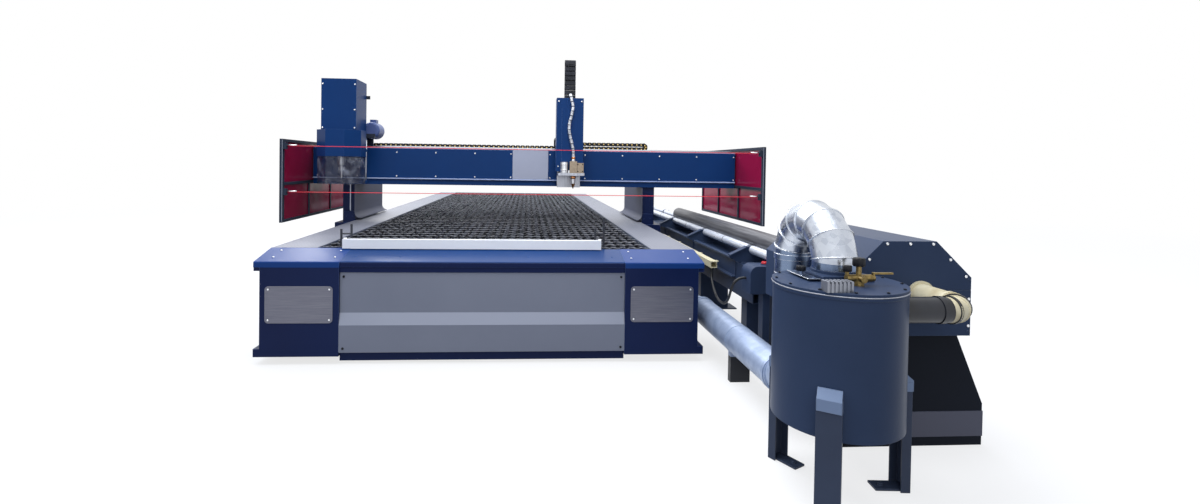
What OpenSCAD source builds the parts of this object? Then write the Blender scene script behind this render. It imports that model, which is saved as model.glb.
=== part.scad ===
// Plasma cutting table with a moving gantry, a drilling head, a pipe station
// with a chuck, and a smoke separator drum joined by round ducts.
// Millimetres, +Z up, +Y away from the operator, floor at Z = 0.
// Lengths along the table are measured from its front face, then the whole
// thing is moved so that the middle of the table is the origin.

/* [Part] */
// which sub-part is drawn, or all of them

/* [Table] */
// overall width of the table over its side ledges
table_w = 3400; // [3200:10:3600]
// overall length of the table, front face to rear face
table_l = 9300; // [8700:50:10000]
// height of the walkways above the floor
top_z = 831; // [800:1:860]
// width of the cutting bed between the walkways
bed_w = 2700; // [2500:10:2760]
// depth of the front cap from the front face to the bed
cap_d = 303; // [280:1:340]
// height of the rounded front edge of the caps
nose_z = 772; // [750:1:785]
// width of each end cabinet beside the silver front panel
cab_w = 620; // [560:10:680]
// how far the side walls stand in from the ledges
side_in = 45; // [40:1:55]
// spacing of the zig-zag slats along the bed
slat_pitch = 180; // [160:5:220]
// depth of one slat, top to bottom
slat_h = 96; // [70:1:110]
// number of zig-zag waves in a slat
slat_waves = 18; // [14:1:24]
// half the swing of the zig-zag
slat_amp = 27; // [18:1:32]
// width of a badge plate
badge_w = 492; // [400:2:520]
// height of a badge plate
badge_h = 277; // [220:1:290]
// distance from the front face to the front edge of the squaring bar
bar_t = 262; // [255:1:275]

/* [Gantry] */
// distance from the front face of the table to the front of the gantry beam
gantry_t = 2550; // [2300:10:2900]
// underside of the gantry beam above the floor
beam_z = 1255; // [1230:1:1290]
// height of the gantry beam
beam_h = 445; // [430:1:460]
// depth of the gantry beam
beam_d = 350; // [345:1:380]
// left end of the beam from the table centre line
beam_x0 = 2220; // [2200:10:2300]
// right end of the beam from the table centre line
beam_x1 = 2890; // [2840:10:2950]
// length of a light guard at the beam end
guard_l = 2140; // [1900:10:2300]
// underside of a light guard above the floor
guard_z = 875; // [865:1:900]
// height of a light guard
guard_h = 872; // [860:1:900]
// thickness of a guard frame tube
guard_t = 30; // [26:1:36]
// pitch of the energy chain links
link_p = 60; // [54:1:70]

/* [Torch head] */
// torch axis from the table centre line
torch_x = 843; // [760:1:900]
// height of the torch tip above the floor
torch_z = 1246; // [1240:1:1256]
// width of the lift column
column_w = 315; // [305:1:330]
// top of the lift column
column_z = 2300; // [2200:5:2400]
// radius of the torch barrel
torch_r = 24; // [20:1:27]
// radius of the torch lead
lead_r = 17; // [13:1:19]

/* [Drilling head] */
// axis of the drilling spindle left of the table centre line
drill_x = 1775; // [1765:1:1790]
// size of the eight-sided head across its flats
head_af = 480; // [460:1:486]
// height of the eight-sided head
head_h = 294; // [270:1:300]
// height of the clear skirt under the head
skirt_h = 306; // [280:1:312]
// top of the drilling column
drill_top = 2432; // [2380:1:2500]
// radius of the spindle nose
spindle_r = 42; // [34:1:46]

/* [Pipe station] */
// pipe axis from the table centre line
pipe_x = 2340; // [2330:1:2350]
// height of the pipe axis
pipe_z = 887; // [884:1:892]
// radius of the pipe that is held in the chuck
pipe_r = 80; // [70:1:80]
// length of the pipe that is held in the chuck
pipe_l = 3560; // [3000:20:4200]
// radius of a support roller
roller_r = 37.5; // [34:0.5:37.5]
// number of roller arms
arm_n = 5; // [4:1:5]
// spacing of the roller arms
arm_pitch = 1260; // [1200:10:1300]
// front of the chuck housing, measured towards the operator
house_t = 1440; // [1410:5:1460]
// length of the chuck housing
house_l = 990; // [940:5:1010]
// width of the chuck housing
house_w = 690; // [660:1:700]
// radius of the chuck
chuck_r = 165; // [155:1:175]

/* [Separator and ducts] */
// centre of the separator drum from the table centre line
drum_x = 1800; // [1790:1:1808]
// centre of the drum in front of the table
drum_t = 1697; // [1690:1:1715]
// radius of the drum
drum_r = 292; // [284:1:296]
// underside of the drum above the floor
drum_z0 = 341; // [320:1:360]
// top of the drum shell
drum_z1 = 972; // [955:1:980]
// line of the big duct from the table centre line
duct_x = 1835; // [1832:1:1840]
// radius of the big duct
duct_r = 105; // [98:1:106]
// wall of every duct
duct_w = 2; // [1.5:0.1:3]
// radius of the bend at the top, on its centre line
ubend_r = 210; // [205:1:215]
// number of gores in the top bend
gores = 8; // [6:1:10]
// height of the big duct line above the floor
duct_z = 290; // [280:1:300]
// radius of the side duct from the drum to the chuck housing
side_r = 61; // [56:1:64]
// height of the side duct above the floor
side_z = 859; // [840:1:870]

/* [Hidden] */
$fn = 48;
hw = table_w / 2;
wall_x = hw - side_in;
bh = bed_w / 2;
bed_l = table_l - 2 * cap_d;
slat_n = floor((bed_l - 40) / slat_pitch);
// lower and upper cross beams of the base frame
base_z0 = 60;
base_z1 = 160;
bearer_z0 = 640;
bearer_z1 = 700;
// channel along the outlet side of the suction trays
channel_w = 460;
channel_z = base_z1 + 360;
flap_z0 = base_z1 + 100;
flap_z1 = base_z1 + 260;
// rail, rack and trucks beside the table
rail_z = 650;
rail_h = 24;
rack_z = 600;
truck_z0 = 560;
truck_z1 = 800;
truck_l = 1150;
shield_z0 = 925;
shield_l = 1200;
lip_r = 74;
beam_top = beam_z + beam_h;
shelf_z = torch_z + 149;
blue = [0.12, 0.25, 0.5];
slate = [0.17, 0.2, 0.27];
silver = [0.55, 0.57, 0.65];
steel = [0.62, 0.63, 0.66];
dark = [0.09, 0.1, 0.12];
galv = [0.78, 0.8, 0.82];
leg_x0 = hw + 22;
leg_x1 = hw + 185;
truck_x1 = hw + 250;
frame_x = wall_x - 83;
head_z0 = beam_z + 321;
head_z1 = head_z0 + head_h;
drill_t = gantry_t - 360;
roller_dx = 95;
roller_dz = sqrt(pow(pipe_r + roller_r + 0.5, 2) - roller_dx * roller_dx);
roller_z = pipe_z - roller_dz;
riser1_t = -(drum_t - 92);
riser2_t = riser1_t + 2 * ubend_r;
bend_z = 1028;
elbow_r = 160;
outlet_t = 560;
table_bend_r = 135;
side_x = pipe_x + 62;
side_t = -(drum_t + 50);
side_bend_r = 95;
gate_z = drum_z1 + 25;
leg_top = drum_z1 - 404;
house_z0 = 640;
house_z1 = 951;
house_z2 = 1143;
house_flat = 147;
foot_x = 510;
foot_z = 230;
bench_t = 420;
bench_z0 = 420;
bench_z1 = 700;
// end cover of the pipe station with its red button, and the tray for its cables
cover_z0 = bench_z1 - 160;
cover_z1 = bench_z1 + 55;
cover_r = 60;
estop_r = 27;
estop_z = cover_z1 + 4.3;
cable_t0 = bench_t + 280;
cable_l = 2000;
cable_z0 = bench_z1 - 96;
cable_h = 60;
// motor of the drilling head
motor_r = 98;
motor_l = 239.7;
motor_round = 26;
col_x0 = torch_x - 198;
col_x1 = col_x0 + column_w;
col_t = gantry_t - 290;
dx0 = -drill_x - 181;
dx1 = dx0 + 377;
mid_x0 = 133;
mid_x1 = 564;
bar_x0 = -1143;
bar_x1 = 923;
// turning points of the torch hose from the torch tail to the column
torch_route = [[0, 0, 362.3], [-2, -2, 430], [-20, -8, 520], [-48, -4, 640], [-52, 0, 740], [-30, -2, 840],
  [-12, 0, 940], [-26, 0, 1010], [-34, 6, 1058], [-39, 42, 1090], [-41, 88, 1094], [-41, 134.7, 1094]];
// turning points of the bench hose from the end cover, down in a loop, up into the cable tray
hose_route = [[-295.3, 30, 650], [-306, 30, 650], [-317, 30, 650], [-352, 31, 642], [-381, 35, 619],
  [-398, 44, 585], [-404, 68, 530], [-402, 112, 470], [-398, 180, 420], [-390, 270, 391], [-381, 365, 382],
  [-371, 455, 388], [-360, 545, 409], [-349, 630, 443], [-338, 704, 486], [-331, 742, 516], [-326, 763, 551],
  [-325, 770, 587], [-325, 770, 595.5], [-325, 770, 603.7]];

// moves a piece from front-face lengths to the middle of the table
module tab() { translate([0, -table_l / 2, 0]) children(); }
// a block given by its low and high corners
module blk(a, b) { translate(a) cube([b[0] - a[0], b[1] - a[1], b[2] - a[2]]); }
// a copy on each side of the centre line
module both() { children(); mirror([1, 0, 0]) children(); }
// a profile drawn in Y and Z, run along X from x0 to x1
module along_x(x0, x1) { translate([x0, 0, 0]) rotate([90, 0, 90]) linear_extrude(x1 - x0) children(); }
// a profile drawn in X and Z, run along Y from y0 to y1
module along_y(y0, y1) { translate([0, y1, 0]) rotate([90, 0, 0]) linear_extrude(y1 - y0) children(); }
// a round bar along Y
module bar_y(x, y0, y1, z, r) { translate([x, y0, z]) rotate([-90, 0, 0]) cylinder(r = r, h = y1 - y0); }
// a round bar along X
module bar_x(x0, x1, y, z, r) { translate([x0, y, z]) rotate([0, 90, 0]) cylinder(r = r, h = x1 - x0); }
// a plate with round corners standing in X and Z, from y0 to y1
module plate(x, z, w, h, r, y0, y1) {
  blk([x - w/2 + r, y0, z - h/2], [x + w/2 - r, y1, z + h/2]);
  blk([x - w/2, y0, z - h/2 + r], [x + w/2, y1, z + h/2 - r]);
  for (i = [-1, 1], j = [-1, 1]) bar_y(x + i*(w/2 - r), y0, y1, z + j*(h/2 - r), r);
}
// a duct bend about the origin in the X-Y plane, of n gores; the end gores are
// half as long, so that both ends are true circles
module gore_bend(rc, r, t, ang, n) {
  d = ang / (n - 1);
  for (i = [0:n-1]) rotate([0, 0, i * d]) intersection() {
    translate([rc, 0, 0]) rotate([90, 0, 0]) difference() {
      cylinder(r = r, h = 4 * r, center = true);
      cylinder(r = r - t, h = 4 * r + 2, center = true);
    }
    translate([0, 0, -r - 5]) linear_extrude(2*r + 10)
      polygon([[0, 0], [3*rc, i == 0 ? 0 : -3*rc*tan(d/2)], [3*rc, i == n - 1 ? 0 : 3*rc*tan(d/2)]]);
  }
  // the swaged seam between two gores
  for (i = [0:n-2]) rotate([0, 0, (i + 0.5) * d]) translate([rc / cos(d/2), 0, 0]) rotate([90, 0, 0])
    difference() {
    cylinder(r = r / cos(d/2) + 3, h = 5, center = true);
    cylinder(r = r - t - 1, h = 7, center = true);
  }
}
// a collar round a joint, its axis along Z, from z0 to z1
module collar(r, z0, z1) translate([0, 0, z0]) difference() {
  cylinder(r = r + 5, h = z1 - z0);
  translate([0, 0, -1]) cylinder(r = r - 1, h = z1 - z0 + 2);
}
// the carriage block that wraps a square rail, rail centre at the origin, run along Y
module shoe(l) {
  difference() {
    translate([-28, -l/2, 2]) cube([56, l, 34]);
    translate([-12, -l/2 - 1, -1]) cube([24, l + 2, 19.5]);
  }
}

// table
module base_frame() color(dark) tab() {
  both() {
    blk([frame_x, 60, base_z0], [frame_x + 80, table_l - 60, base_z1]);
    blk([frame_x, cap_d + 2, top_z - 65], [frame_x + 80, table_l - cap_d - 2, top_z - 5]);
    for (i = [0:6]) let (t = cap_d + 60 + i * (bed_l - 200) / 6)
      blk([frame_x, t, base_z1], [frame_x + 80, t + 80, top_z - 65]);
    for (t = [300, table_l - 300]) difference() {
      union() {
        blk([frame_x - 60, t - 100, 0], [frame_x + 90, t + 100, 14]);
        blk([frame_x + 10, t - 60, 14], [frame_x + 70, t + 60, base_z0]);
      }
      translate([frame_x - 25, t, -1]) cylinder(r = 9, h = 20);
    }
  }
  for (i = [0:6]) let (t = cap_d + 60 + i * (bed_l - 200) / 6) {
    blk([-frame_x, t, base_z0], [frame_x, t + 80, base_z1]);
    blk([-frame_x, t, bearer_z0], [frame_x, t + 80, bearer_z1]);
  }
}
module body_shell() color(blue) tab() {
  te = table_l - cap_d;
  difference() {
    both() blk([wall_x - 3, cap_d, 60], [wall_x, te, top_z - 5]);
    bar_x(wall_x - 10, wall_x + 10, outlet_t, duct_z, duct_r + 0.3);
  }
  both() blk([wall_x - 3, te - 1, 60], [wall_x, table_l - 2, nose_z - 30]);
  blk([-wall_x, table_l - 3, 60], [wall_x, table_l, nose_z - 20]);
  // rear cap over the full width, with closed ends
  along_x(-hw, hw) polygon([[te, top_z - 10], [te, top_z], [te + 8, top_z], [table_l - 8, nose_z],
    [table_l, nose_z - 8], [table_l, 700], [table_l - 3, 700], [table_l - 3, nose_z - 12], [te + 10, top_z - 10]]);
  both() along_x(wall_x - 3, hw) polygon([[te + 1, 700], [te + 1, top_z - 4], [table_l - 8, nose_z - 4],
    [table_l - 1, nose_z - 12], [table_l - 1, 700]]);
  // low plinth between the end cabinets
  blk([-hw + cab_w, 30, 20], [hw - cab_w, 36, 88]);
  both() blk([hw - cab_w - 40, 36, 20], [hw - cab_w, 60, 88]);
}
module cabinet(s) color(blue) tab() mirror([s < 0 ? 1 : 0, 0, 0]) {
  x0 = hw - cab_w;
  difference() {
    blk([x0, 0, 60], [wall_x, cap_d - 0.3, nose_z - 44]);
    blk([x0 + 3, 3, 50], [wall_x - 3, cap_d + 10, nose_z - 44 - 3]);
    // way out for the frame feet and bolts
    blk([frame_x - 61, 190, 40], [wall_x + 10, cap_d + 10, 61]);
  }
  // tabs that meet the frame
  for (t = [100, 200]) blk([frame_x + 40, t, 160.3], [wall_x - 2, t + 50, 166]);
  // bottom band that stands out to the ledge line
  difference() {
    blk([x0, -0, 60], [hw, cap_d - 0.3, 120]);
    blk([x0 - 1, 3, 50], [hw - 3, cap_d + 1, 130]);
  }
  blk([wall_x, 3, 114], [hw - 3, cap_d - 0.3, 120]);
  // the cap with its sloped top and rounded nose
  difference() {
    union() {
      along_x(x0, hw) polygon([[0, nose_z - 44], [0, nose_z - 12], [5, nose_z - 3], [14, nose_z],
        [cap_d - 12, top_z], [cap_d - 0.3, top_z], [cap_d - 0.3, nose_z - 72], [6, nose_z - 72], [6, nose_z - 44]]);
      bar_x(x0, hw, 12, nose_z - 12, 12);
    }
    along_x(x0 - 1, wall_x)
      polygon([[-5, nose_z - 44], [-5, nose_z - 80], [cap_d, nose_z - 80], [cap_d, nose_z - 44]]);
    along_x(x0 + 5, hw - 5) polygon([[20, nose_z - 90], [20, nose_z - 12], [cap_d - 12, top_z - 6],
      [cap_d - 6, top_z - 6], [cap_d - 6, nose_z - 90]]);
  }
  // screws of the cap
  for (x = [x0 + 60, wall_x - 60], t = [90, 230])
    translate([x, t, nose_z + (t - 14) / (cap_d - 26) * (top_z - nose_z) - 3])
      rotate([atan((top_z - nose_z) / (cap_d - 26)), 0, 0]) cylinder(r = 7, h = 6);
}
module cabinet_left() cabinet(-1);
module cabinet_right() cabinet(1);
module cap_mid() color(blue) tab() {
  x = hw - cab_w - 0.3;
  along_x(-x, x) polygon([[8, nose_z - 41], [8, nose_z - 9], [18, nose_z], [cap_d - 12, top_z - 2],
    [cap_d - 0.3, top_z - 2], [cap_d - 0.3, top_z - 40], [cap_d - 5, top_z - 40], [cap_d - 5, top_z - 7],
    [cap_d - 14, top_z - 7], [22, nose_z - 5], [14, nose_z - 12], [14, nose_z - 41]]);
  // dark vertical band under the cap
  blk([-x, 14, nose_z - 82], [x, 20, nose_z - 30]);
  for (i = [-3:3]) translate([i * (x - 89.7) / 3, 120, nose_z + 102 / (cap_d - 30) * (top_z - nose_z) - 5.5])
    rotate([12.5, 0, 0]) cylinder(r = 7, h = 7);
}
module front_panel() color(silver) tab() {
  x = hw - cab_w - 0.6;
  z1 = nose_z - 84;
  along_x(-x, x)
    polygon([[20, z1], [20, 385], [0, 294], [0, 88.3], [3, 88.3], [3, 293], [23, 384], [23, z1]]);
  along_x(-x, x) polygon([[23, z1 - 3], [60, z1 - 3], [60, z1], [23, z1]]);
  along_x(-x, x) polygon([[3, 88.3], [40, 88.3], [40, 91.3], [3, 91.3]]);
  // edge folds that lie against the cabinets
  for (s = [-1, 1]) along_x(s < 0 ? -x : x - 3, s < 0 ? -x + 3 : x)
    polygon([[23, z1], [60, z1], [60, 88.3], [0, 88.3], [0, 294], [20, 385]]);
  for (sx = [-1, 1]) {
    bar_y(sx * (x - 30), 14, 21, z1 - 30, 8);
    bar_y(sx * (x - 30), -3, 1, 120, 8);
  }
}
module badge_plates() color(silver) tab() both() {
  difference() {
    plate(hw - 330, 450, badge_w, badge_h, 28, -3, 0);
    plate(hw - 330, 450, badge_w - 24, badge_h - 24, 20, -3.5, -2.2);
  }
  for (i = [-1, 1], j = [-1, 1])
    bar_y(hw - 330 + i*(badge_w/2 - 24), -4.5, -1, 450 + j*(badge_h/2 - 24), 6);
}
module walkways() color([0.76, 0.77, 0.8]) tab() both() {
  blk([bh, cap_d, top_z - 4.7], [hw, table_l - cap_d - 0.3, top_z]);
  blk([hw - 4, cap_d, top_z - 42], [hw, table_l - cap_d - 0.3, top_z]);
  blk([bh, cap_d, top_z - 30], [bh + 4, table_l - cap_d - 0.3, top_z]);
  // lines of raised studs along the outer edge
  for (i = [0:57]) translate([hw - 25, cap_d + 60 + i * (bed_l - 120) / 57, top_z])
    cylinder(r = 6, h = 1.5, $fn = 16);
}
module slat_frame() color(dark) tab() {
  difference() {
    blk([-bh + 0.3, cap_d, bearer_z1], [bh - 0.3, table_l - cap_d - 0.3, top_z - 3]);
    blk([-bh + 10, cap_d + 10, bearer_z1 - 10], [bh - 10, table_l - cap_d - 10, top_z]);
  }
  // bearers the slats stand on
  for (i = [-2:2]) let (x = i * (bh - 150) / 2)
    blk([x - 6, cap_d + 10, bearer_z1], [x + 6, table_l - cap_d - 10, top_z - 5 - slat_h]);
}
module slat() {
  n = 2 * slat_waves;
  w = 2 * bh - 28;
  a = slat_amp;
  t = 5;
  linear_extrude(slat_h) polygon(concat(
    [for (i = [0:n]) [-w/2 + i * w / n, (i % 2 == 0 ? -a : a)]],
    [for (i = [n:-1:0]) [-w/2 + i * w / n, (i % 2 == 0 ? -a : a) + t]]));
}
module slat_bed() color([0.3, 0.31, 0.35]) tab() {
  for (i = [0:slat_n - 1])
    translate([0, cap_d + 10 + slat_pitch / 2 + 12 + i * slat_pitch, top_z - 5 - slat_h]) slat();
}
module suction_trays() color([0.35, 0.36, 0.4]) tab() difference() {
  x = frame_x - 20;
  union() {
    difference() {
      blk([-x, cap_d + 10, base_z1], [x, table_l - cap_d - 20, bearer_z0 - 0.3]);
      blk([-x + 4, cap_d + 14, base_z1 + 4], [x - 4, table_l - cap_d - 24, bearer_z1]);
    }
    // walls between the suction zones
    for (i = [1:7])
      blk([-x + 2, cap_d + i * bed_l / 8, base_z1 + 2], [x - 2, cap_d + i * bed_l / 8 + 4, bearer_z0 - 80]);
    // closed channel on the outlet side
    blk([x - channel_w, cap_d + 12, base_z1 + 2], [x - channel_w + 4, table_l - cap_d - 22, channel_z]);
    blk([x - channel_w, cap_d + 12, channel_z - 4], [x - 2, table_l - cap_d - 22, channel_z]);
  }
  bar_x(x - 10, x + 10, outlet_t, duct_z, duct_r + 0.3);
  // flaps of the zones, alternately open
  for (i = [0:7]) let (t = cap_d + (i + 0.5) * bed_l / 8)
    blk([x - channel_w - 10, t - 120, flap_z0], [x - channel_w + 10, t + 120, flap_z1]);
}
module rails_and_racks() color(steel) tab() both() {
  difference() {
    blk([wall_x, 350, rail_z], [wall_x + 24, table_l - 350, rail_z + rail_h]);
    for (i = [0:30])
      bar_x(wall_x + 12, wall_x + 30, 420 + i * (table_l - 840) / 30, rail_z + rail_h / 2, 5);
  }
  blk([wall_x, 350, rack_z], [wall_x + 22, table_l - 350, rack_z + 22]);
  for (t = [350, table_l - 350]) blk([wall_x, t - 10, rack_z - 10], [wall_x + 24, t, rail_z + rail_h + 10]);
}
module squaring_bar() color([0.88, 0.89, 0.9]) tab() {
  difference() {
    blk([bar_x0, bar_t, top_z - 1.7], [bar_x1, bar_t + 36, top_z + 74]);
    blk([bar_x0 - 7, bar_t + 4, top_z + 6], [bar_x1 + 7, bar_t + 40, top_z + 66]);
    // where it lies on the left cap
    blk([bar_x0 - 7, bar_t - 5, top_z - 5], [-hw + cab_w + 0.5, bar_t + 50, top_z + 0.3]);
  }
  bar_clamps();
}
module clamp_post(x, t, h) {
  translate([x, t, top_z - 1.7]) cylinder(r = 9, h = h);
  translate([x, t, top_z - 1.7]) cylinder(r = 22, h = 10);
}
module bar_clamps() {
  t = bar_t + 64;
  for (p = [[-1170, 150], [-1090, 190], [880, 170], [950, 260]]) clamp_post(p[0], t, p[1]);
  bar_x(-1170, -1090, t, top_z + 110, 6);
  bar_x(-1170, -1090, t, top_z + 60, 6);
  bar_x(880, 950, t, top_z + 120, 6);
  bar_x(880, 950, t, top_z + 60, 6);
  // hooks that hold the bar
  for (x = [-1130, 915]) blk([x - 12, bar_t + 30, top_z + 72], [x + 12, t + 6, top_z + 82]);
  for (x = [-1130, 915]) blk([x - 12, t - 6, top_z + 54], [x + 12, t + 6, top_z + 82]);
  for (x = [-1110, 890]) blk([x - 40, t - 15, top_z - 2], [x + 40, t + 15, top_z + 4]);
}

// gantry
module gantry_beam() color(blue) tab() {
  g = gantry_t;
  difference() {
    union() {
      blk([-beam_x0, g, beam_z + 80], [beam_x1, g + beam_d, beam_top]);
      blk([-beam_x0, g + 10, beam_z], [beam_x1, g + beam_d, beam_z + 82]);
    }
    blk([-beam_x0 + 10, g + 10, beam_z + 90], [beam_x1 - 10, g + beam_d - 10, beam_top - 10]);
    blk([-beam_x0 + 10, g + 20, beam_z + 10], [beam_x1 - 10, g + beam_d - 10, beam_z + 72]);
  }
  // bright ledge that runs the whole length
  along_x(-beam_x0, beam_x1) polygon([[g + 12, beam_z + 66], [g - 15, beam_z + 66], [g - 15, beam_z + 74],
    [g - 3, beam_z + 80], [g + 12, beam_z + 80]]);
}
module rivet_rows(xs) {
  for (x = xs, z = [beam_z + 102, beam_z + 385]) bar_y(x, gantry_t - 6, gantry_t - 1, z, 7);
}
module beam_covers() color(blue) tab() {
  g = gantry_t;
  blk([-beam_x0 + 3, g - 3, beam_z + 80.3], [mid_x0 - 0.3, g, beam_top - 3]);
  blk([mid_x1 + 0.3, g - 3, beam_z + 80.3], [beam_x1 - 3, g, beam_top - 3]);
  rivet_rows([-2169, -1708, -1247, -786, -321, 111, 586, 1013, 1475, 1936, 2401, beam_x1 - 21]);
}
module beam_cover_mid() color(silver) tab() {
  blk([mid_x0, gantry_t - 5, beam_z + 80.3], [mid_x1, gantry_t, beam_top - 3]);
}
module gantry_legs() color(blue) tab() both() {
  g = gantry_t;
  difference() {
    union() {
      // truck that runs beside the table
      blk([leg_x0, g - 50, truck_z0], [truck_x1, g + truck_l, truck_z1]);
      // column up to the beam
      blk([leg_x0, g + 40, truck_z1 - 10], [leg_x1, g + 720, beam_z]);
      blk([leg_x0, g - 30, truck_z1], [leg_x1 - 30, g + 40, truck_z1 + 130]);
      along_x(leg_x0, leg_x1) polygon(
        [[g + 720, truck_z1], [g + 1000, truck_z1], [g + 720, truck_z1 + 300]]);
      // front panel of the column
      blk([leg_x0, g + 20, truck_z1 + 130], [leg_x1 - 60, g + 40, truck_z1 + 360]);
    }
    blk([leg_x0 + 8, g - 42, truck_z0 - 10], [truck_x1 - 8, g + truck_l - 8, truck_z1 - 8]);
    blk([leg_x0 + 8, g + 48, truck_z1 - 20], [leg_x1 - 8, g + 712, beam_z - 8]);
  }
  // bearing shoes on the rail
  for (t = [80, 940]) difference() {
    blk([wall_x + 6, g + t, rail_z - 20], [leg_x0 + 2, g + t + 120, rail_z + rail_h + 20]);
    blk([wall_x, g + t - 1, rail_z - 0.5], [wall_x + rail_h + 0.5, g + t + 121, rail_z + rail_h + 0.5]);
  }
  // gear housing behind the rack
  blk([wall_x + 22.4, g + 500, rack_z - 15], [leg_x0 + 2, g + 640, rack_z + 40]);
  for (x = [leg_x0 + 30, leg_x1 - 60]) bar_y(x, g - 34, g - 29, 870, 6);
}
module leg_shields() color(silver) tab() both() {
  g = gantry_t;
  x = leg_x0 - 4.3;
  blk([x, g - 60, shield_z0], [x + 4, g + shield_l, beam_z - 5]);
  // lip that curls in over the walkway
  translate([x + 4 - lip_r, g + shield_l, shield_z0]) rotate([90, 0, 0]) difference() {
    cylinder(r = lip_r, h = shield_l + 60, $fn = 64);
    translate([0, 0, -1]) cylinder(r = lip_r - 4, h = shield_l + 62, $fn = 64);
    translate([-200, 0, -1]) cube([400, 200, shield_l + 62]);
    translate([-200, -200, -1]) cube([200, 400, shield_l + 62]);
  }
  // fixing strips against the column
  for (z = [shield_z0 + 35, beam_z - 75]) blk([x + 4, g + 100, z], [leg_x0, g + 160, z + 40]);
}
module guard_frame(x) {
  g = gantry_t - 840;
  t = guard_t;
  z0 = guard_z;
  z1 = guard_z + guard_h;
  zm = beam_z + 10;
  blk([x, g, z0], [x + t, g + 50, z1]);
  blk([x, g + guard_l - t, z0], [x + t, g + guard_l, z1]);
  blk([x, g, z1 - t], [x + t, g + guard_l, z1]);
  blk([x, g, zm], [x + t, g + guard_l, zm + t]);
  blk([x, g, z0], [x + t, g + guard_l, z0 + t]);
  for (i = [1, 2]) blk([x, g + i * guard_l / 3, z0], [x + t, g + i * guard_l / 3 + t, zm + t]);
}
module guard_frames() color(dark) tab() {
  guard_frame(beam_x1);
  guard_frame(-beam_x0 - guard_t);
  light_sensors();
}
module guard_panel(x) {
  g = gantry_t - 840;
  z0 = guard_z + guard_t;
  z1 = guard_z + guard_h - guard_t;
  zm = beam_z + 10;
  blk([x, g + 50, zm + guard_t], [x + 4, g + guard_l - guard_t, z1]);
  for (i = [0:2]) blk([x, g + (i == 0 ? 50 : i * guard_l / 3 + guard_t), z0],
    [x + 4, g + (i + 1) * guard_l / 3 - (i == 2 ? guard_t : 0), zm]);
}
module guard_panels() color([0.6, 0.05, 0.2, 0.6]) tab() {
  guard_panel(beam_x1 + guard_t/2);
  guard_panel(-beam_x0 - guard_t/2);
}
module light_sensors() {
  g = gantry_t - 840;
  for (z = [beam_top - 25, beam_z - 60]) {
    for (s = [0, 1]) {
      x0 = s == 0 ? beam_x1 - 36 : -beam_x0;
      blk([x0, g + 4, z - 35], [x0 + 36, g + 46, z + 35]);
      bar_x(s == 0 ? x0 - 6 : x0 + 36, s == 0 ? x0 : x0 + 42, g + 25, z, 14);
    }
  }
}
module beam_chain() color([0.06, 0.06, 0.07]) tab() {
  g = gantry_t + beam_d - 140;
  z0 = beam_top;
  n0 = floor(3400 / link_p);
  n1 = floor(1130 / link_p);
  // tray and lower run
  blk([-1590, g - 4, z0], [-1590 + n0 * link_p + 40, g + 104, z0 + 4]);
  for (i = [0:n0 - 1]) blk([-1580 + i * link_p, g, z0 + 4],
    [-1580 + (i + 0.86) * link_p, g + 100, z0 + 46]);
  blk([-1580, g + 12, z0 + 8], [-1580 + n0 * link_p, g + 88, z0 + 40]);
  // upper run that comes back to the torch head
  x1 = -1580 + n0 * link_p;
  for (i = [0:n1 - 1]) blk([x1 - (i + 0.86) * link_p, g, z0 + 62], [x1 - i * link_p, g + 100, z0 + 104]);
  blk([x1 - n1 * link_p, g + 12, z0 + 66], [x1, g + 88, z0 + 98]);
  // the fold
  translate([x1, g + 100, z0 + 54]) rotate([90, 0, 0]) difference() {
    cylinder(r = 50, h = 100);
    translate([0, 0, -1]) cylinder(r = 8, h = 102);
    translate([-120, -60, -1]) cube([120, 120, 102]);
  }
}
module beam_rails() color(steel) tab() {
  g = gantry_t;
  blk([-beam_x0 + 40, g + 28, beam_top], [beam_x1 - 40, g + 52, beam_top + 17]);
  blk([-beam_x0 + 40, g + beam_d, beam_z + 240], [beam_x1 - 40, g + beam_d + 17, beam_z + 264]);
  blk([-beam_x0 + 40, g + beam_d, beam_z + 160], [beam_x1 - 40, g + beam_d + 14, beam_z + 180]);
}

// the saddle that rides on the beam, from x0 to x1, with a back plate up to z1
module saddle(x0, x1, z0, z1) {
  g = gantry_t;
  difference() {
    union() {
      blk([x0, g - 110, z0], [x1, g - 90, z1]);
      blk([x0, g - 95, beam_top + 130], [x1, g + beam_d + 90, beam_top + 150]);
      blk([x0, g + beam_d + 70, beam_z + 130], [x1, g + beam_d + 90, beam_top + 150]);
      for (x = [x0 + 10, x1 - 90]) {
        blk([x, g + 12, beam_top + 2], [x + 80, g + 68, beam_top + 135]);
        blk([x, g + beam_d + 3, beam_z + 224], [x + 80, g + beam_d + 75, beam_z + 280]);
      }
    }
    blk([x0 - 1, g + 27.5, beam_top - 1], [x1 + 1, g + 52.5, beam_top + 17.5]);
    blk([x0 - 1, g + beam_d - 1, beam_z + 239.5], [x1 + 1, g + beam_d + 17.5, beam_z + 264.5]);
  }
}

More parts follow.
